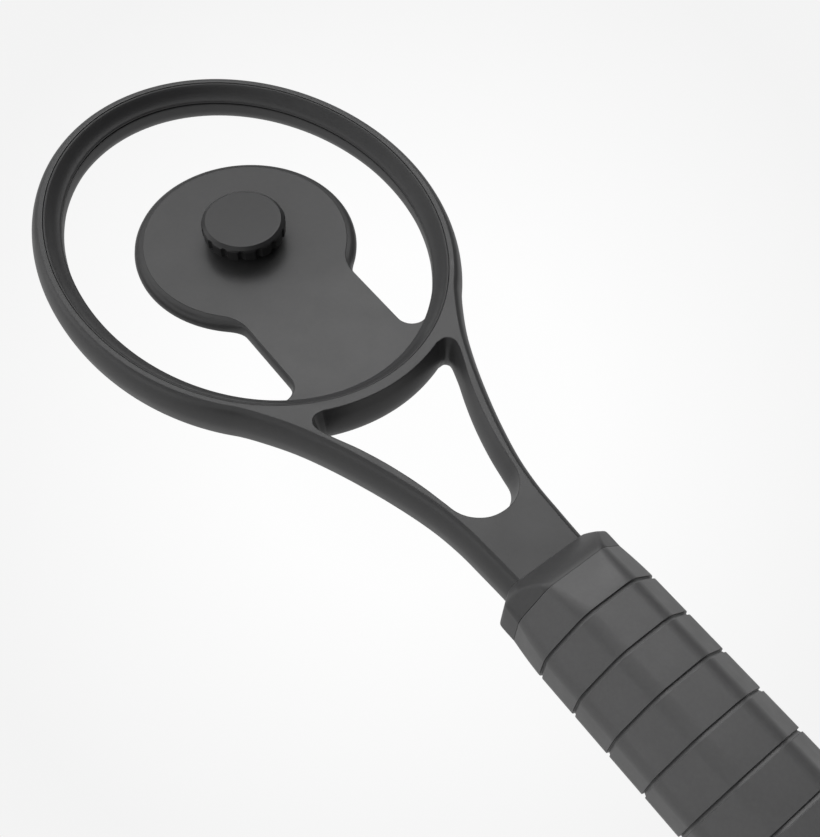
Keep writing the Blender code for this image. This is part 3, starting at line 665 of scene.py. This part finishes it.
def build_frame(material):
    """The moulding: three walls with flat faces between them, the plate, the tang, and two bores."""
    bm = bmesh.new()
    outer = swept_wall(bm, spread(outer_outline(), WALL_STEP), curve_through(OUTER_PROFILE, 3))
    inner = swept_wall(bm, ring_outline(), RING_PROFILE)
    loop = spread(throat_outline(), THROAT_STEP)
    throat = swept_wall(bm, loop, curve_through(THROAT_PROFILE, 2), lean=throat_lean(loop))
    fill_between(bm, [outer[0], inner[0], throat[0]], (0, 0, 1))
    fill_between(bm, [outer[1], inner[1], throat[1]], (0, 0, -1))
    obj = new_object("racket_frame", take(bm))

    bm = bmesh.new()
    loop = spread(plate_outline(), PLATE_STEP)
    top, low = swept_wall(bm, loop, PLATE_EDGE, plate_flare(loop))
    fill_between(bm, [top], (0, 0, 1))
    fill_between(bm, [low], (0, 0, -1))
    combine(obj, take(bm), "UNION")
    tang = prism(box_outline(TANG_HALF, TANG_HALF_Z, 1.0), TANG_END, NECK_END + 6.0, "Y")
    combine(obj, tang, "UNION")
    combine(obj, turned([(BUSH_SEAT_R, -9.0), (BUSH_SEAT_R, 9.0)], 72))
    combine(obj, turned([(PIN_SEAT_R, -6.0), (PIN_SEAT_R, 0.4)], 32, at=PIN_AT))
    return dress(obj, material, "racket", ["frame"], 33.0)


def build_liner(material):
    """A closed strip round the inside of the ring."""
    bm = bmesh.new()
    first, last = swept_wall(bm, ring_outline(), LINER_PROFILE)
    for i in range(len(first)):
        bm.faces.new((last[i - 1], last[i], first[i], first[i - 1]))
    obj = new_object("ring_liner", take(bm))
    return dress(obj, material, "racket", ["rim_liner"], 50.0)


# ---------------------------------------------------------------- knob and clamp stack


def build_knob(material):
    """Rim with grooves pressed into its fine skin, each ending in a half circle, a hub and a pocket."""
    side = [(KNOB_R - 1.2, RIM_LOW), (KNOB_R - 0.15, RIM_LOW), (KNOB_R, KNOB_TOP - 1.3)]
    side += [(KNOB_R - 0.35, KNOB_TOP - 0.8), (KNOB_R - 1.3, KNOB_TOP), (KNOB_R - 2.0, KNOB_TOP)]
    profile = soften(side, 0.5, 6)
    fine = []
    for one, two in zip(profile, profile[1:]):
        pieces = max(1, int(np.linalg.norm(two - one) / KNOB_STEP))
        fine += [one + (two - one) * k / pieces for k in range(pieces)]
    fine.append(profile[-1])
    t = np.linspace(0, 2 * math.pi, FLUTES * FLUTE_STEPS, endpoint=False)
    turn = (t - FLUTE_TURN) * FLUTES / (2 * math.pi)
    lateral = KNOB_R * np.abs((turn + 0.5) % 1 - 0.5) * 2 * math.pi / FLUTES
    round_end = KNOB_TOP - 0.85 - FLUTE_HALF
    rows = []
    for r, z in fine:
        away = np.hypot(lateral, max(0.0, z - round_end)) / FLUTE_HALF
        scoop = FLUTE_DEEP * np.clip(1 - away**2, 0, 1)
        ring = r - scoop * np.clip((r - KNOB_R + 1.3) / 1.0, 0, 1)
        rows.append(on_axis(ring * np.cos(t), ring * np.sin(t), z, "Z"))
    for r in (9.6, 5.0):
        rows.append(on_axis(r * np.cos(t), r * np.sin(t), KNOB_TOP, "Z"))
    obj = new_object("clamp_knob", skin(rows))
    hub = [(5.8, HUB_LOW), (6.4, HUB_LOW), (6.6, RIM_LOW + 0.1), (6.6, RIM_LOW + 1.1)]
    combine(obj, turned(hub, 72), "UNION")
    combine(obj, prism(hexagon(HEX_POCKET), 1.0, KNOB_TOP - 1.3))
    return dress(obj, material, "knob", ["knob"], 34.0)


def build_screw(material):
    """Clamping screw: chamfered tip, a cut thread, a groove for the clip, and a plain shank."""
    t = np.linspace(0, 2 * math.pi, 48, endpoint=False)
    rows = []
    for z in np.arange(SCREW_END, CLIP_LOW - 0.3, THREAD_PITCH / 12):
        phase = (z / THREAD_PITCH - t / (2 * math.pi)) % 1
        crest = np.clip(1.25 - 3.0 * np.abs(phase - 0.5), 0, 1)
        tip = np.clip(1 - (z - SCREW_END) / 1.0, 0, 1)
        run_out = np.clip((z - (CLIP_LOW - 1.3)) / 0.9, 0, 1)
        r = THREAD_R - THREAD_DEEP * (1 - crest) * (1 - run_out) - 0.75 * tip
        rows.append(on_axis(r * np.cos(t), r * np.sin(t), z, "Z"))
    shank = [(THREAD_R, CLIP_LOW - 0.25), (THREAD_R, CLIP_LOW), (2.5, CLIP_LOW), (2.5, CLIP_TOP)]
    shank += [(THREAD_R, CLIP_TOP), (THREAD_R, 4.0)]
    for r, z in soften(shank, 0.1, 3):
        rows.append(on_axis(r * np.cos(t), r * np.sin(t), z, "Z"))
    obj = new_object("clamp_screw", skin(rows))
    combine(obj, prism(hexagon(HEX_HEAD), SCREW_TOP - 5.1, SCREW_TOP, round_off=0.3), "UNION")
    return dress(obj, material, "knob", ["thumb_screw"], 32.0)


def build_stack(steel, brass, rubber):
    """What the screw clamps and turns in: washer, bush, clip, and the pad and pin on the tracker's side."""
    low, high = extent("thrust_washer", "Z")
    washer = turned([(3.6, low), (6.6, low), (6.6, high), (3.6, high)], tube=True, round_off=0.15)
    dress(new_object("brass_washer", washer), brass, "racket", ["thrust_washer"])
    low, high = extent("plate_bush", "Z")
    shape = [(SCREW_PLAY, low), (BUSH_R, low), (BUSH_R, low + 0.8)]
    shape += [(BUSH_SEAT_R - 0.3, low + 0.8), (BUSH_SEAT_R - 0.3, high), (SCREW_PLAY, high)]
    bush = turned(shape, 72, tube=True, round_off=0.25)
    dress(new_object("brass_bush", bush), brass, "racket", ["plate_bush"])

    outline = np.concatenate((arc(0, 0, 5.4, 118, 422, 60), arc(0, 0, 2.8, 420, 120, 50)))
    clip = prism(outline, *extent("retaining_clip", "Z"), round_off=0.08)
    dress(new_object("screw_clip", clip), steel, "knob", ["retaining_clip"], 30.0)

    low, high = extent("tracker_pad", "Z")
    shape = [(8.6, high), (8.6, low)]
    groove = ((-0.45, 0.0), (-0.3, 0.6), (0.3, 0.6), (0.45, 0.0))
    for r in (11.6, 15.0, 18.4, 21.8):
        shape += [(r + off, low + deep) for off, deep in groove]
    shape += [(26.0, low), (26.0, high)]
    pad = new_object("tracker_seat_pad", turned(shape, 128, tube=True, round_off=0.25))
    combine(pad, turned([(PIN_SEAT_R, -8.0), (PIN_SEAT_R, 0.0)], 36, at=PIN_AT))
    dress(pad, rubber, "racket", ["tracker_pad"], 40.0)

    low, high = extent("locating_pin", "Z")
    pin = turned([(1.3, low), (2.0, low + 1.0), (2.0, high)], 40, at=PIN_AT)
    dress(new_object("steel_locating_pin", pin), steel, "racket", ["locating_pin"])


# ---------------------------------------------------------------- handle


def grip_ring(y, w, h, a, b, radius, count=8):
    """The grip's octagon at one place along the handle, with rounded corners."""
    corners = [(a, h), (w, b), (w, -b), (a, -h), (-a, -h), (-w, -b), (-w, b), (-a, h)]
    ring = soften(corners, radius, count, closed=True)
    return np.column_stack((ring[:, 0], np.full(len(ring), y), ring[:, 1]))


def collar_ring(depth):
    """The grip's octagon cut back by a rounded slope, at a depth measured from the collar's front."""
    across, along = SEAM_W - SEAM_A, SEAM_H - SEAM_B
    size = math.hypot(across, along)
    length = COLLAR_FRONT - COLLAR_REAR
    rise = length * (1 - (1 - depth / length) ** 1.65)
    nx, nz = along / size, across / size
    full = nx * SEAM_W + nz * SEAM_B
    w = SEAM_W - blend_to_zero(SEAM_W - NECK_HALF - COLLAR_LIP_X - rise)
    h = SEAM_H - blend_to_zero(SEAM_H - TOP - COLLAR_LIP_Z - rise)
    slant = full - blend_to_zero(COLLAR_CUT - rise)
    a, b = (slant - nz * h) / nx, (slant - nx * w) / nz
    return grip_ring(COLLAR_FRONT - depth, w, h, a, b, 1.5 + depth * 0.39)


def blend_to_zero(left, width=0.5):
    """Follows what is left of a slope, then runs out to zero with a small round."""
    return (left + math.sqrt(left * left + width * width)) / 2


def build_collar(material):
    """The slope from the neck to the grip, as a sleeve round the neck and the tang."""
    length = COLLAR_FRONT - COLLAR_REAR
    rows = [collar_ring(length * k / 30) for k in range(31)]
    front, rear = rows[0], rows[-1]
    lip = front * (0.985, 1.0, 0.965)
    lip[:, 1] = COLLAR_FRONT + 0.1
    edge = rear * (0.993, 1.0, 0.993)
    edge[:, 1] = COLLAR_REAR
    rear[:, 1] = COLLAR_REAR + 0.1
    hole = (NECK_HALF + 0.12, TOP + 0.08, 10.6, 4.6, 0.8)
    rows = [lip, *rows, edge, grip_ring(COLLAR_REAR, *hole), grip_ring(COLLAR_FRONT + 0.1, *hole)]
    obj = new_object("collar", skin(rows, wrap=True))
    return dress(obj, material, "racket", ["grip_collar"], 40.0)


def grip_size(y):
    """Size of the grip at a place along it: it widens over the first band, then stays the same."""
    t = min(1.0, max(0.0, (SLEEVE_FRONT - y) / (SLEEVE_FRONT - FIRST_GROOVE)))
    t = 1 - (1 - t) ** 1.6
    low = np.array((SEAM_W, SEAM_H, SEAM_A, SEAM_B, SEAM_ROUND))
    full = np.array((GRIP_W, GRIP_H, GRIP_A, GRIP_B, GRIP_ROUND))
    return low + (full - low) * t


def build_sleeve(material):
    """The bands, each with softened ends, and the grooves between them with a flat floor."""
    seam = COLLAR_REAR - 0.04
    steps = [(seam, 0.1), (seam - 0.06, 0.03), (seam - 0.15, 0.0)]
    for k in range(1, 6):
        steps.append((SLEEVE_FRONT + (FIRST_GROOVE - SLEEVE_FRONT) * k / 6, 0.0))
    groove = ((0.58, 0.0), (0.49, 0.03), (0.44, 0.12), (0.42, 0.58), (0.32, 0.66), (0.05, 0.55))
    groove += ((-0.5, 0.34), (-0.55, 0.12), (-0.6, 0.03), (-0.72, 0.0))
    for i in range(GROOVES):
        y = FIRST_GROOVE - GROOVE_PITCH * i
        steps += [(y + off, deep) for off, deep in groove]
    steps += [(SLEEVE_REAR + 0.3, 0.0), (SLEEVE_REAR + 0.12, 0.07), (SLEEVE_REAR, 0.25)]
    rows = []
    for y, deep in steps:
        w, h, a, b, radius = grip_size(y)
        rows.append(grip_ring(y, w - deep, h - deep, a - deep * 0.4, b - deep * 0.4, radius))
    bore = (14.3, 12.7, 7.2, 4.6, 2.0)
    rows.append(grip_ring(SLEEVE_REAR, *bore))
    rows.append(grip_ring(seam, *bore))
    obj = new_object("banded_grip", skin(rows, wrap=True))
    return dress(obj, material, "racket", ["grip_sleeve"], 36.0)


def build_cap(material):
    """End cap: a spigot into the core, a slot for the strap with its pin's bore, and two screw seats."""
    outline = ((9.7, -0.3), (9.4, 0.0), (8.5, 0.25), (6.9, 0.65), (3.3, 0.8), (1.9, 0.6), (0.8, 0.0))
    outline += ((0.2, -0.9), (0.0, -2.0))
    rows = []
    for up, grow in outline:
        a, b, radius = GRIP_A + grow * 0.4, GRIP_B + grow * 0.4, GRIP_ROUND + grow * 0.5
        rows.append(grip_ring(CAP_REAR + up, GRIP_W + grow, GRIP_H + grow, a, b, radius))
    obj = new_object("end_cap", skin(rows))
    spigot = [(8.2, SPIGOT_END), (8.7, SPIGOT_END), (8.7, CAP_REAR + 6.5)]
    combine(obj, turned(spigot, 64, "Y"), "UNION")
    slot = box_outline(SLOT_HALF_X, SLOT_HALF_Z, SLOT_ROUND)
    combine(obj, prism(slot, CAP_REAR - 9.5, CAP_REAR + 10.9, "Y"))
    combine(obj, slot_mouth())
    combine(obj, turned([(PIN_R + 0.25, -30.0), (PIN_R + 0.25, 30.0)], 32, "X", at=(0.0, PIN_Y, 0.0)))
    seat = ((1.5, 20.5), (1.5, 3.2), (2.9, 3.2), (2.9, 0.5), (3.5, -0.5))
    for x, z in BUTT_SCREWS:
        shape = [(r, CAP_REAR + up) for r, up in seat]
        combine(obj, turned(shape, 40, "Y", at=(x, 0.0, z), round_off=0.05))
    return dress(obj, material, "racket", ["butt_cap"], 32.0)


def slot_mouth():
    """Rounds the strap slot's mouth, so it is wider towards the end face."""
    steps = [(1 - math.cos(t), 1 - math.sin(t)) for t in np.radians(np.arange(0, 91, 15))]
    rows = []
    for wider, up in steps + [(1.0, -1.0)]:
        grow = SLOT_MOUTH * wider
        ring = box_outline(SLOT_HALF_X + grow, SLOT_HALF_Z + grow, SLOT_ROUND + grow)
        rows.append(on_axis(ring[:, 1], ring[:, 0], CAP_REAR + SLOT_MOUTH * up, "Y"))
    return skin(rows)


def build_butt_screws(steel):
    profile = ((0.6, 21.0), (1.05, 19.5), (1.05, 2.9), (2.5, 2.9), (2.5, 1.2), (1.7, 0.7))
    for i, (x, z) in enumerate(BUTT_SCREWS, 1):
        shape = [(r, CAP_REAR + up) for r, up in profile]
        obj = new_object(f"cap_screw_{i}", turned(shape, 40, "Y", at=(x, 0.0, z)))
        combine(obj, prism(hexagon(1.8, 0.1), CAP_REAR - 1.5, CAP_REAR + 1.9, "Y", at=(x, 0.0, z)))
        dress(obj, steel, "racket", [f"butt_screw_{i}"], 32.0)


# ---------------------------------------------------------------- wrist strap


def droop(points):
    """Turns points drawn about the strap's pin, +Y towards the ring, to their drooping place."""
    points = np.array(points, float)
    x, y, z = points.T
    c, s = math.cos(DROOP), math.sin(DROOP)
    return np.column_stack((x, PIN_Y + y * c - z * s, y * s + z * c))


def drooped(shape):
    """The same for a shape's points, with its faces kept."""
    return droop(shape[0]), shape[1]


def cord_path():
    """Closed centre line: round the pin, through the ferrule, a quarter twist, then the wrist loop."""
    turn = PIN_R + CORD_R + 0.3
    half = [(0.0, turn * math.cos(t), turn * math.sin(t)) for t in np.radians(np.arange(180, 80, -18))]
    half += [(0.0, 4.0, 2.75), (0.0, 8.0, 1.95), (0.0, 11.5, 1.5), (0.0, 20.0, 1.47)]
    for i in range(1, 6):
        t = math.radians(90 - 18 * i)
        r = 1.5 + 0.25 * i / 5
        half.append((r * math.cos(t), 20.0 + 2.4 * i, r * math.sin(t)))
    half.append((1.75, LOOP_START, 0.0))
    reach = (PIN_Y - STRAP_REAR - CORD_R) / math.cos(DROOP) - LOOP_START
    wide = LOOP_HALF - CORD_R
    shape = ((0.072, 0.064), (0.344, 0.192), (0.776, 0.384), (1.0, 0.594), (0.856, 0.813), (0.376, 0.959))
    loop = [(1.75, LOOP_START - 4.0), (1.75, LOOP_START)]
    loop += [(1.75 + (wide - 1.75) * u, LOOP_START + reach * v) for u, v in shape]
    beyond = (-loop[-1][0], loop[-1][1])
    loop += [(0.0, LOOP_START + reach), beyond]
    half += [(x, s, 0.0) for x, s in curve_through(loop, 6)[1:]]
    other = [(-x, s, -z) for x, s, z in reversed(half[1:-1])]
    return np.array(half + other)


def carried_round(line):
    """Two directions across a closed line that turn as little as they can, and the turn left at its end."""
    tangent = np.roll(line, -1, axis=0) - np.roll(line, 1, axis=0)
    tangent /= np.linalg.norm(tangent, axis=1)[:, None]
    side = np.zeros_like(line)
    side[0] = (1.0, 0.0, 0.0)
    for i in range(1, len(line)):
        s = side[i - 1] - tangent[i] * (side[i - 1] @ tangent[i])
        side[i] = s / np.linalg.norm(s)
    up = np.cross(tangent, side)
    last = side[-1] - tangent[0] * (side[-1] @ tangent[0])
    return side, up, math.atan2(last @ up[0], last @ side[0])


def build_cord(material):
    """The cord as a tube whose surface is raised where two families of strands cross over and under."""
    path = cord_path() * (1, -1, 1)
    closed = np.concatenate((path, path[:1]))
    length = np.concatenate(([0.0], np.cumsum(np.linalg.norm(np.diff(closed, axis=0), axis=1))))
    lay = 2 * math.pi * CORD_R / STRANDS
    repeats = 2 * round(length[-1] / lay / 2)
    count = repeats * 6
    want = np.linspace(0, length[-1], count, endpoint=False)
    line = np.column_stack([np.interp(want, length, closed[:, k]) for k in range(3)])
    for _ in range(6):
        line = (np.roll(line, 1, axis=0) + 2 * line + np.roll(line, -1, axis=0)) / 4
    side, up, left_over = carried_round(line)
    t = np.linspace(0, 2 * math.pi, STRANDS * 6, endpoint=False)
    rows = []
    for i in range(count):
        along = repeats * i / count
        u = t * STRANDS / (2 * math.pi) + along
        v = t * STRANDS / (2 * math.pi) - along
        over = (np.floor(u) + np.floor(v)) % 2
        one, two = np.abs(np.sin(math.pi * u)), np.abs(np.sin(math.pi * v))
        crown = np.where(over > 0, np.maximum(one, two * 0.55), np.maximum(two, one * 0.55))
        r = CORD_R - BRAID_DEEP * (1 - crown)
        a = t - left_over * i / count
        ring = line[i] + np.outer(r * np.cos(a), side[i]) + np.outer(r * np.sin(a), up[i])
        rows.append(ring)
    obj = new_object("braided_cord", drooped(skin(rows, wrap=True)))
    return dress(obj, material, "strap", ["wrist_strap"], 70.0)


def stadium(half_u, half_v, count=14):
    """A stadium outline, longer in v."""
    reach = half_v - half_u
    return np.concatenate((arc(0, reach, half_u, 0, 180, count), arc(0, -reach, half_u, 180, 360, count)))


def build_ferrule(steel):
    """Crimped metal sleeve: softened ends and two pressed rings."""
    wall = [(1.65, -12.0), (2.75, -12.0), (2.8, -13.3), (2.55, -13.9), (2.55, -14.3), (2.8, -14.9)]
    wall += [(2.8, -16.1), (2.55, -16.7), (2.55, -17.1), (2.8, -17.7), (2.75, -19.0), (1.65, -19.0)]
    rows = []
    for half, y in soften(wall, 0.3, 4, closed=True):
        ring = stadium(half, half + 1.5)
        rows.append(on_axis(ring[:, 1], ring[:, 0], y, "Y"))
    obj = new_object("crimp_ferrule", drooped(skin(rows, wrap=True)))
    return dress(obj, steel, "strap", ["strap_ferrule"], 40.0)


def build_lock(plastic, accent):
    """Cord lock: a barrel and a plunger across the cord, each with a window that the cord runs through."""
    at = (0.0, -LOCK_S, 0.0)
    along_cord = (-LOCK_S - 12, -LOCK_S + 12, "Y")
    shape = [(4.4, -13.5), (5.6, -13.2), (6.2, -11.6), (6.2, -9.6), (5.7, -9.2), (5.7, -8.6), (6.2, -8.2)]
    shape += [(6.2, 5.0), (5.7, 5.4), (5.7, 6.0), (6.2, 6.4), (6.2, 7.6), (5.7, 8.8), (5.2, 9.0)]
    body = new_object("cord_lock_barrel", drooped(turned(shape, 72, "X", at=at, round_off=0.35)))
    combine(body, drooped(turned([(4.3, -11.6), (4.3, 12.0)], 48, "X", at=at)))
    combine(body, drooped(prism(box_outline(3.5, 1.75, 0.9), *along_cord)))
    dress(body, plastic, "cord_lock", ["cord_lock_body"], 32.0)

    shape = [(3.7, -5.6), (4.0, -5.3), (4.0, 12.0), (3.6, 13.0), (2.6, 13.2)]
    button = new_object("cord_lock_plunger", drooped(turned(shape, 56, "X", at=at, round_off=0.5)))
    combine(button, drooped(prism(box_outline(4.45, 1.75, 0.8), *along_cord, at=(1.05, 0.0, 0.0))))
    dress(button, accent, "lock_button", ["cord_lock_button"], 32.0)


def build_pin(steel):
    pin = turned([(1.1, -16.6), (PIN_R, -16.2), (PIN_R, 16.2), (1.1, 16.6)], 40, "X", at=(0.0, PIN_Y, 0.0))
    dress(new_object("steel_strap_pin", pin), steel, "racket", ["strap_pin"])


# ---------------------------------------------------------------- stage

VIEW_AZ, VIEW_EL, VIEW_ROLL = math.radians(-40.43), math.radians(56.21), math.radians(-3.33)
EYE = Vector((-104.8, -203.1, 242.6))  # camera, in millimetres from the ring's centre
LENS = 46.91  # millimetres
LIGHTS = (  # name, azimuth, elevation, strength
    ("overhead", 0.0, 90.0, 0.9),
    ("key_right", 120.0, 55.0, 4.4),
    ("key_far", 180.0, 55.0, 3.3),
    ("near_left", 300.0, 55.0, 1.2),
    ("far_right", 135.0, 20.0, 0.85),
    ("far", 180.0, 20.0, 0.85),
    ("far_left", 225.0, 20.0, 2.2),
    ("left", 270.0, 20.0, 2.0),
)
LIGHT_SIZE, LIGHT_AWAY = 0.8, 1.2  # metres
SKY_SEEN = 0.92
FLOOR_SIZE, FLOOR_DROP = 40.0, 0.32  # metres
FLOOR_GLOW = 0.54  # how strongly the floor lights the object from below
# painted pool of light on the floor: it glows brightest in the middle of the picture and dimmer towards the
# edges
FADE_FROM, FADE_TO = 0.2, 0.6  # where the floor starts and ends to fade, from the middle of the picture
FLOOR_BRIGHT, FLOOR_DIM = 0.987, 0.9


def direction(azimuth, elevation):
    """Unit vector towards a place in the sky. Azimuth 0 is behind the grip, seen along +Y."""
    return Vector(
        (
            math.sin(azimuth) * math.cos(elevation),
            -math.cos(azimuth) * math.cos(elevation),
            math.sin(elevation),
        )
    )


def build_camera():
    """Camera at EYE, looking down the view's azimuth and elevation and rolled a little."""
    back = direction(VIEW_AZ, VIEW_EL)
    right = Vector((0, 0, 1)).cross(back).normalized()
    up = back.cross(right)
    c, s = math.cos(VIEW_ROLL), math.sin(VIEW_ROLL)
    axes = (right * c - up * s, right * s + up * c, back)
    data = bpy.data.cameras.new("camera")
    data.lens = LENS
    data.clip_start = 0.01
    camera = bpy.data.objects.new("camera", data)
    camera.matrix_world = Matrix.Translation(CENTRE + EYE * MM) @ Matrix(axes).transposed().to_4x4()
    bpy.context.scene.collection.objects.link(camera)
    bpy.context.scene.camera = camera


def build_lights():
    for name, azimuth, elevation, strength in LIGHTS:
        data = bpy.data.lights.new(name, "AREA")
        data.size = LIGHT_SIZE
        data.energy = strength
        light = bpy.data.objects.new(name, data)
        out = direction(math.radians(azimuth), math.radians(elevation))
        light.location = CENTRE + out * LIGHT_AWAY
        light.rotation_euler = out.to_track_quat("Z", "Y").to_euler()
        light.visible_camera = False
        bpy.context.scene.collection.objects.link(light)


def seen_or_lighting(tree, seen, lighting):
    """A shader that the camera sees as one and that lights the object as another."""
    path = tree.nodes.new("ShaderNodeLightPath")
    mix = tree.nodes.new("ShaderNodeMixShader")
    tree.links.new(path.outputs["Is Camera Ray"], mix.inputs[0])
    tree.links.new(lighting.outputs[0], mix.inputs[1])
    tree.links.new(seen.outputs[0], mix.inputs[2])
    return mix


def build_world():
    """A pale sky that is only seen: the lamps and the floor give all the light."""
    world = bpy.data.worlds.new("studio")
    bpy.context.scene.world = world
    world.use_nodes = True
    tree = world.node_tree
    seen = tree.nodes["Background"]
    seen.inputs["Color"].default_value = (SKY_SEEN, SKY_SEEN, SKY_SEEN, 1.0)
    lighting = tree.nodes.new("ShaderNodeBackground")
    lighting.inputs["Color"].default_value = (0.0, 0.0, 0.0, 1.0)
    mix = seen_or_lighting(tree, seen, lighting)
    tree.links.new(mix.outputs[0], tree.nodes["World Output"].inputs["Surface"])


def build_floor():
    """A pale floor, clear from below so that the rear can be looked at too. The camera sees it glow, with a
    painted pool of light that is brightest in the middle of the picture.
    """
    bpy.ops.mesh.primitive_plane_add(size=FLOOR_SIZE, location=CENTRE - Vector((0, 0, FLOOR_DROP)))
    floor = bpy.context.object
    floor.name = "floor"
    mat = bpy.data.materials.new("pale_floor")
    mat.use_nodes = True
    tree = mat.node_tree
    tree.nodes.remove(tree.nodes["Principled BSDF"])
    place = tree.nodes.new("ShaderNodeTexCoord")
    away = tree.nodes.new("ShaderNodeVectorMath")
    away.operation = "LENGTH"
    shift = tree.nodes.new("ShaderNodeMapping")
    shift.inputs["Location"].default_value = (-0.5, -0.5, 0.0)
    tree.links.new(place.outputs["Window"], shift.inputs["Vector"])
    tree.links.new(shift.outputs[0], away.inputs[0])
    # painted pool of light: the glow that the camera sees dims away from the middle of the picture
    painted_pool = tree.nodes.new("ShaderNodeMapRange")
    set_range(painted_pool, (FADE_FROM, FADE_TO), (FLOOR_BRIGHT, FLOOR_DIM))
    tree.links.new(away.outputs["Value"], painted_pool.inputs["Value"])
    seen = tree.nodes.new("ShaderNodeEmission")
    tree.links.new(painted_pool.outputs[0], seen.inputs["Strength"])
    lighting = tree.nodes.new("ShaderNodeEmission")
    lighting.inputs["Strength"].default_value = FLOOR_GLOW
    mix = seen_or_lighting(tree, seen, lighting)
    side = tree.nodes.new("ShaderNodeNewGeometry")
    clear = tree.nodes.new("ShaderNodeBsdfTransparent")
    from_below = tree.nodes.new("ShaderNodeMixShader")
    tree.links.new(side.outputs["Backfacing"], from_below.inputs[0])
    tree.links.new(mix.outputs[0], from_below.inputs[1])
    tree.links.new(clear.outputs[0], from_below.inputs[2])
    tree.links.new(from_below.outputs[0], tree.nodes["Material Output"].inputs["Surface"])
    floor.data.materials.append(mat)


# ---------------------------------------------------------------- everything


def finish_inner_parts(steel, brass, core):
    """Gives the CAD nodes that stay inside the handle and the cord lock their materials."""
    choice = {"handle_core": core, "core_screw": steel, "core_insert": brass, "balance_weight": steel}
    choice["cord_lock_spring"] = steel
    for name, obj in frame["nodes"].items():
        for start, material in choice.items():
            if name.startswith(start):
                obj.data.materials.clear()
                obj.data.materials.append(material)


def main():
    plastic = moulded_plastic("frame_plastic", (0.065, 0.065, 0.066), 0.38)
    knob_plastic = moulded_plastic("knob_plastic", (0.04, 0.04, 0.041), 0.36)
    accent = moulded_plastic("button_plastic", (0.1, 0.1, 0.105), 0.4)
    core = moulded_plastic("core_plastic", (0.07, 0.07, 0.075), 0.55)
    liner = soft_rubber("liner_rubber", (0.05, 0.05, 0.051), 0.5)
    collar = soft_rubber("collar_rubber", (0.076, 0.076, 0.077), 0.42)
    grip = soft_rubber("grip_rubber", (0.122, 0.122, 0.123), 0.38)
    steel = turned_metal("turned_steel", (0.56, 0.57, 0.58), 0.3, (0.0, 0.0, 0.0))
    steel_cross = turned_metal("drawn_steel", (0.56, 0.57, 0.58), 0.28, (0.0, PIN_Y, 0.0), "X")
    steel_handle = turned_metal("screw_steel", (0.42, 0.43, 0.44), 0.34, (0.0, 0.0, 0.0), "Y")
    brass = turned_metal("turned_brass", (0.72, 0.53, 0.26), 0.32, (0.0, 0.0, 0.0))
    cord = braided_cord("cord_yarn", (0.03, 0.03, 0.031))

    build_frame(plastic)
    build_liner(liner)
    build_knob(knob_plastic)
    build_screw(steel)
    build_stack(steel, brass, liner)
    build_collar(collar)
    build_sleeve(grip)
    build_cap(collar)
    build_butt_screws(steel_handle)
    build_cord(cord)
    build_ferrule(steel_handle)
    build_lock(knob_plastic, accent)
    build_pin(steel_cross)
    finish_inner_parts(steel, brass, core)
    build_world()
    build_lights()
    build_floor()
    build_camera()
    bpy.context.scene.view_settings.view_transform = "Standard"


main()
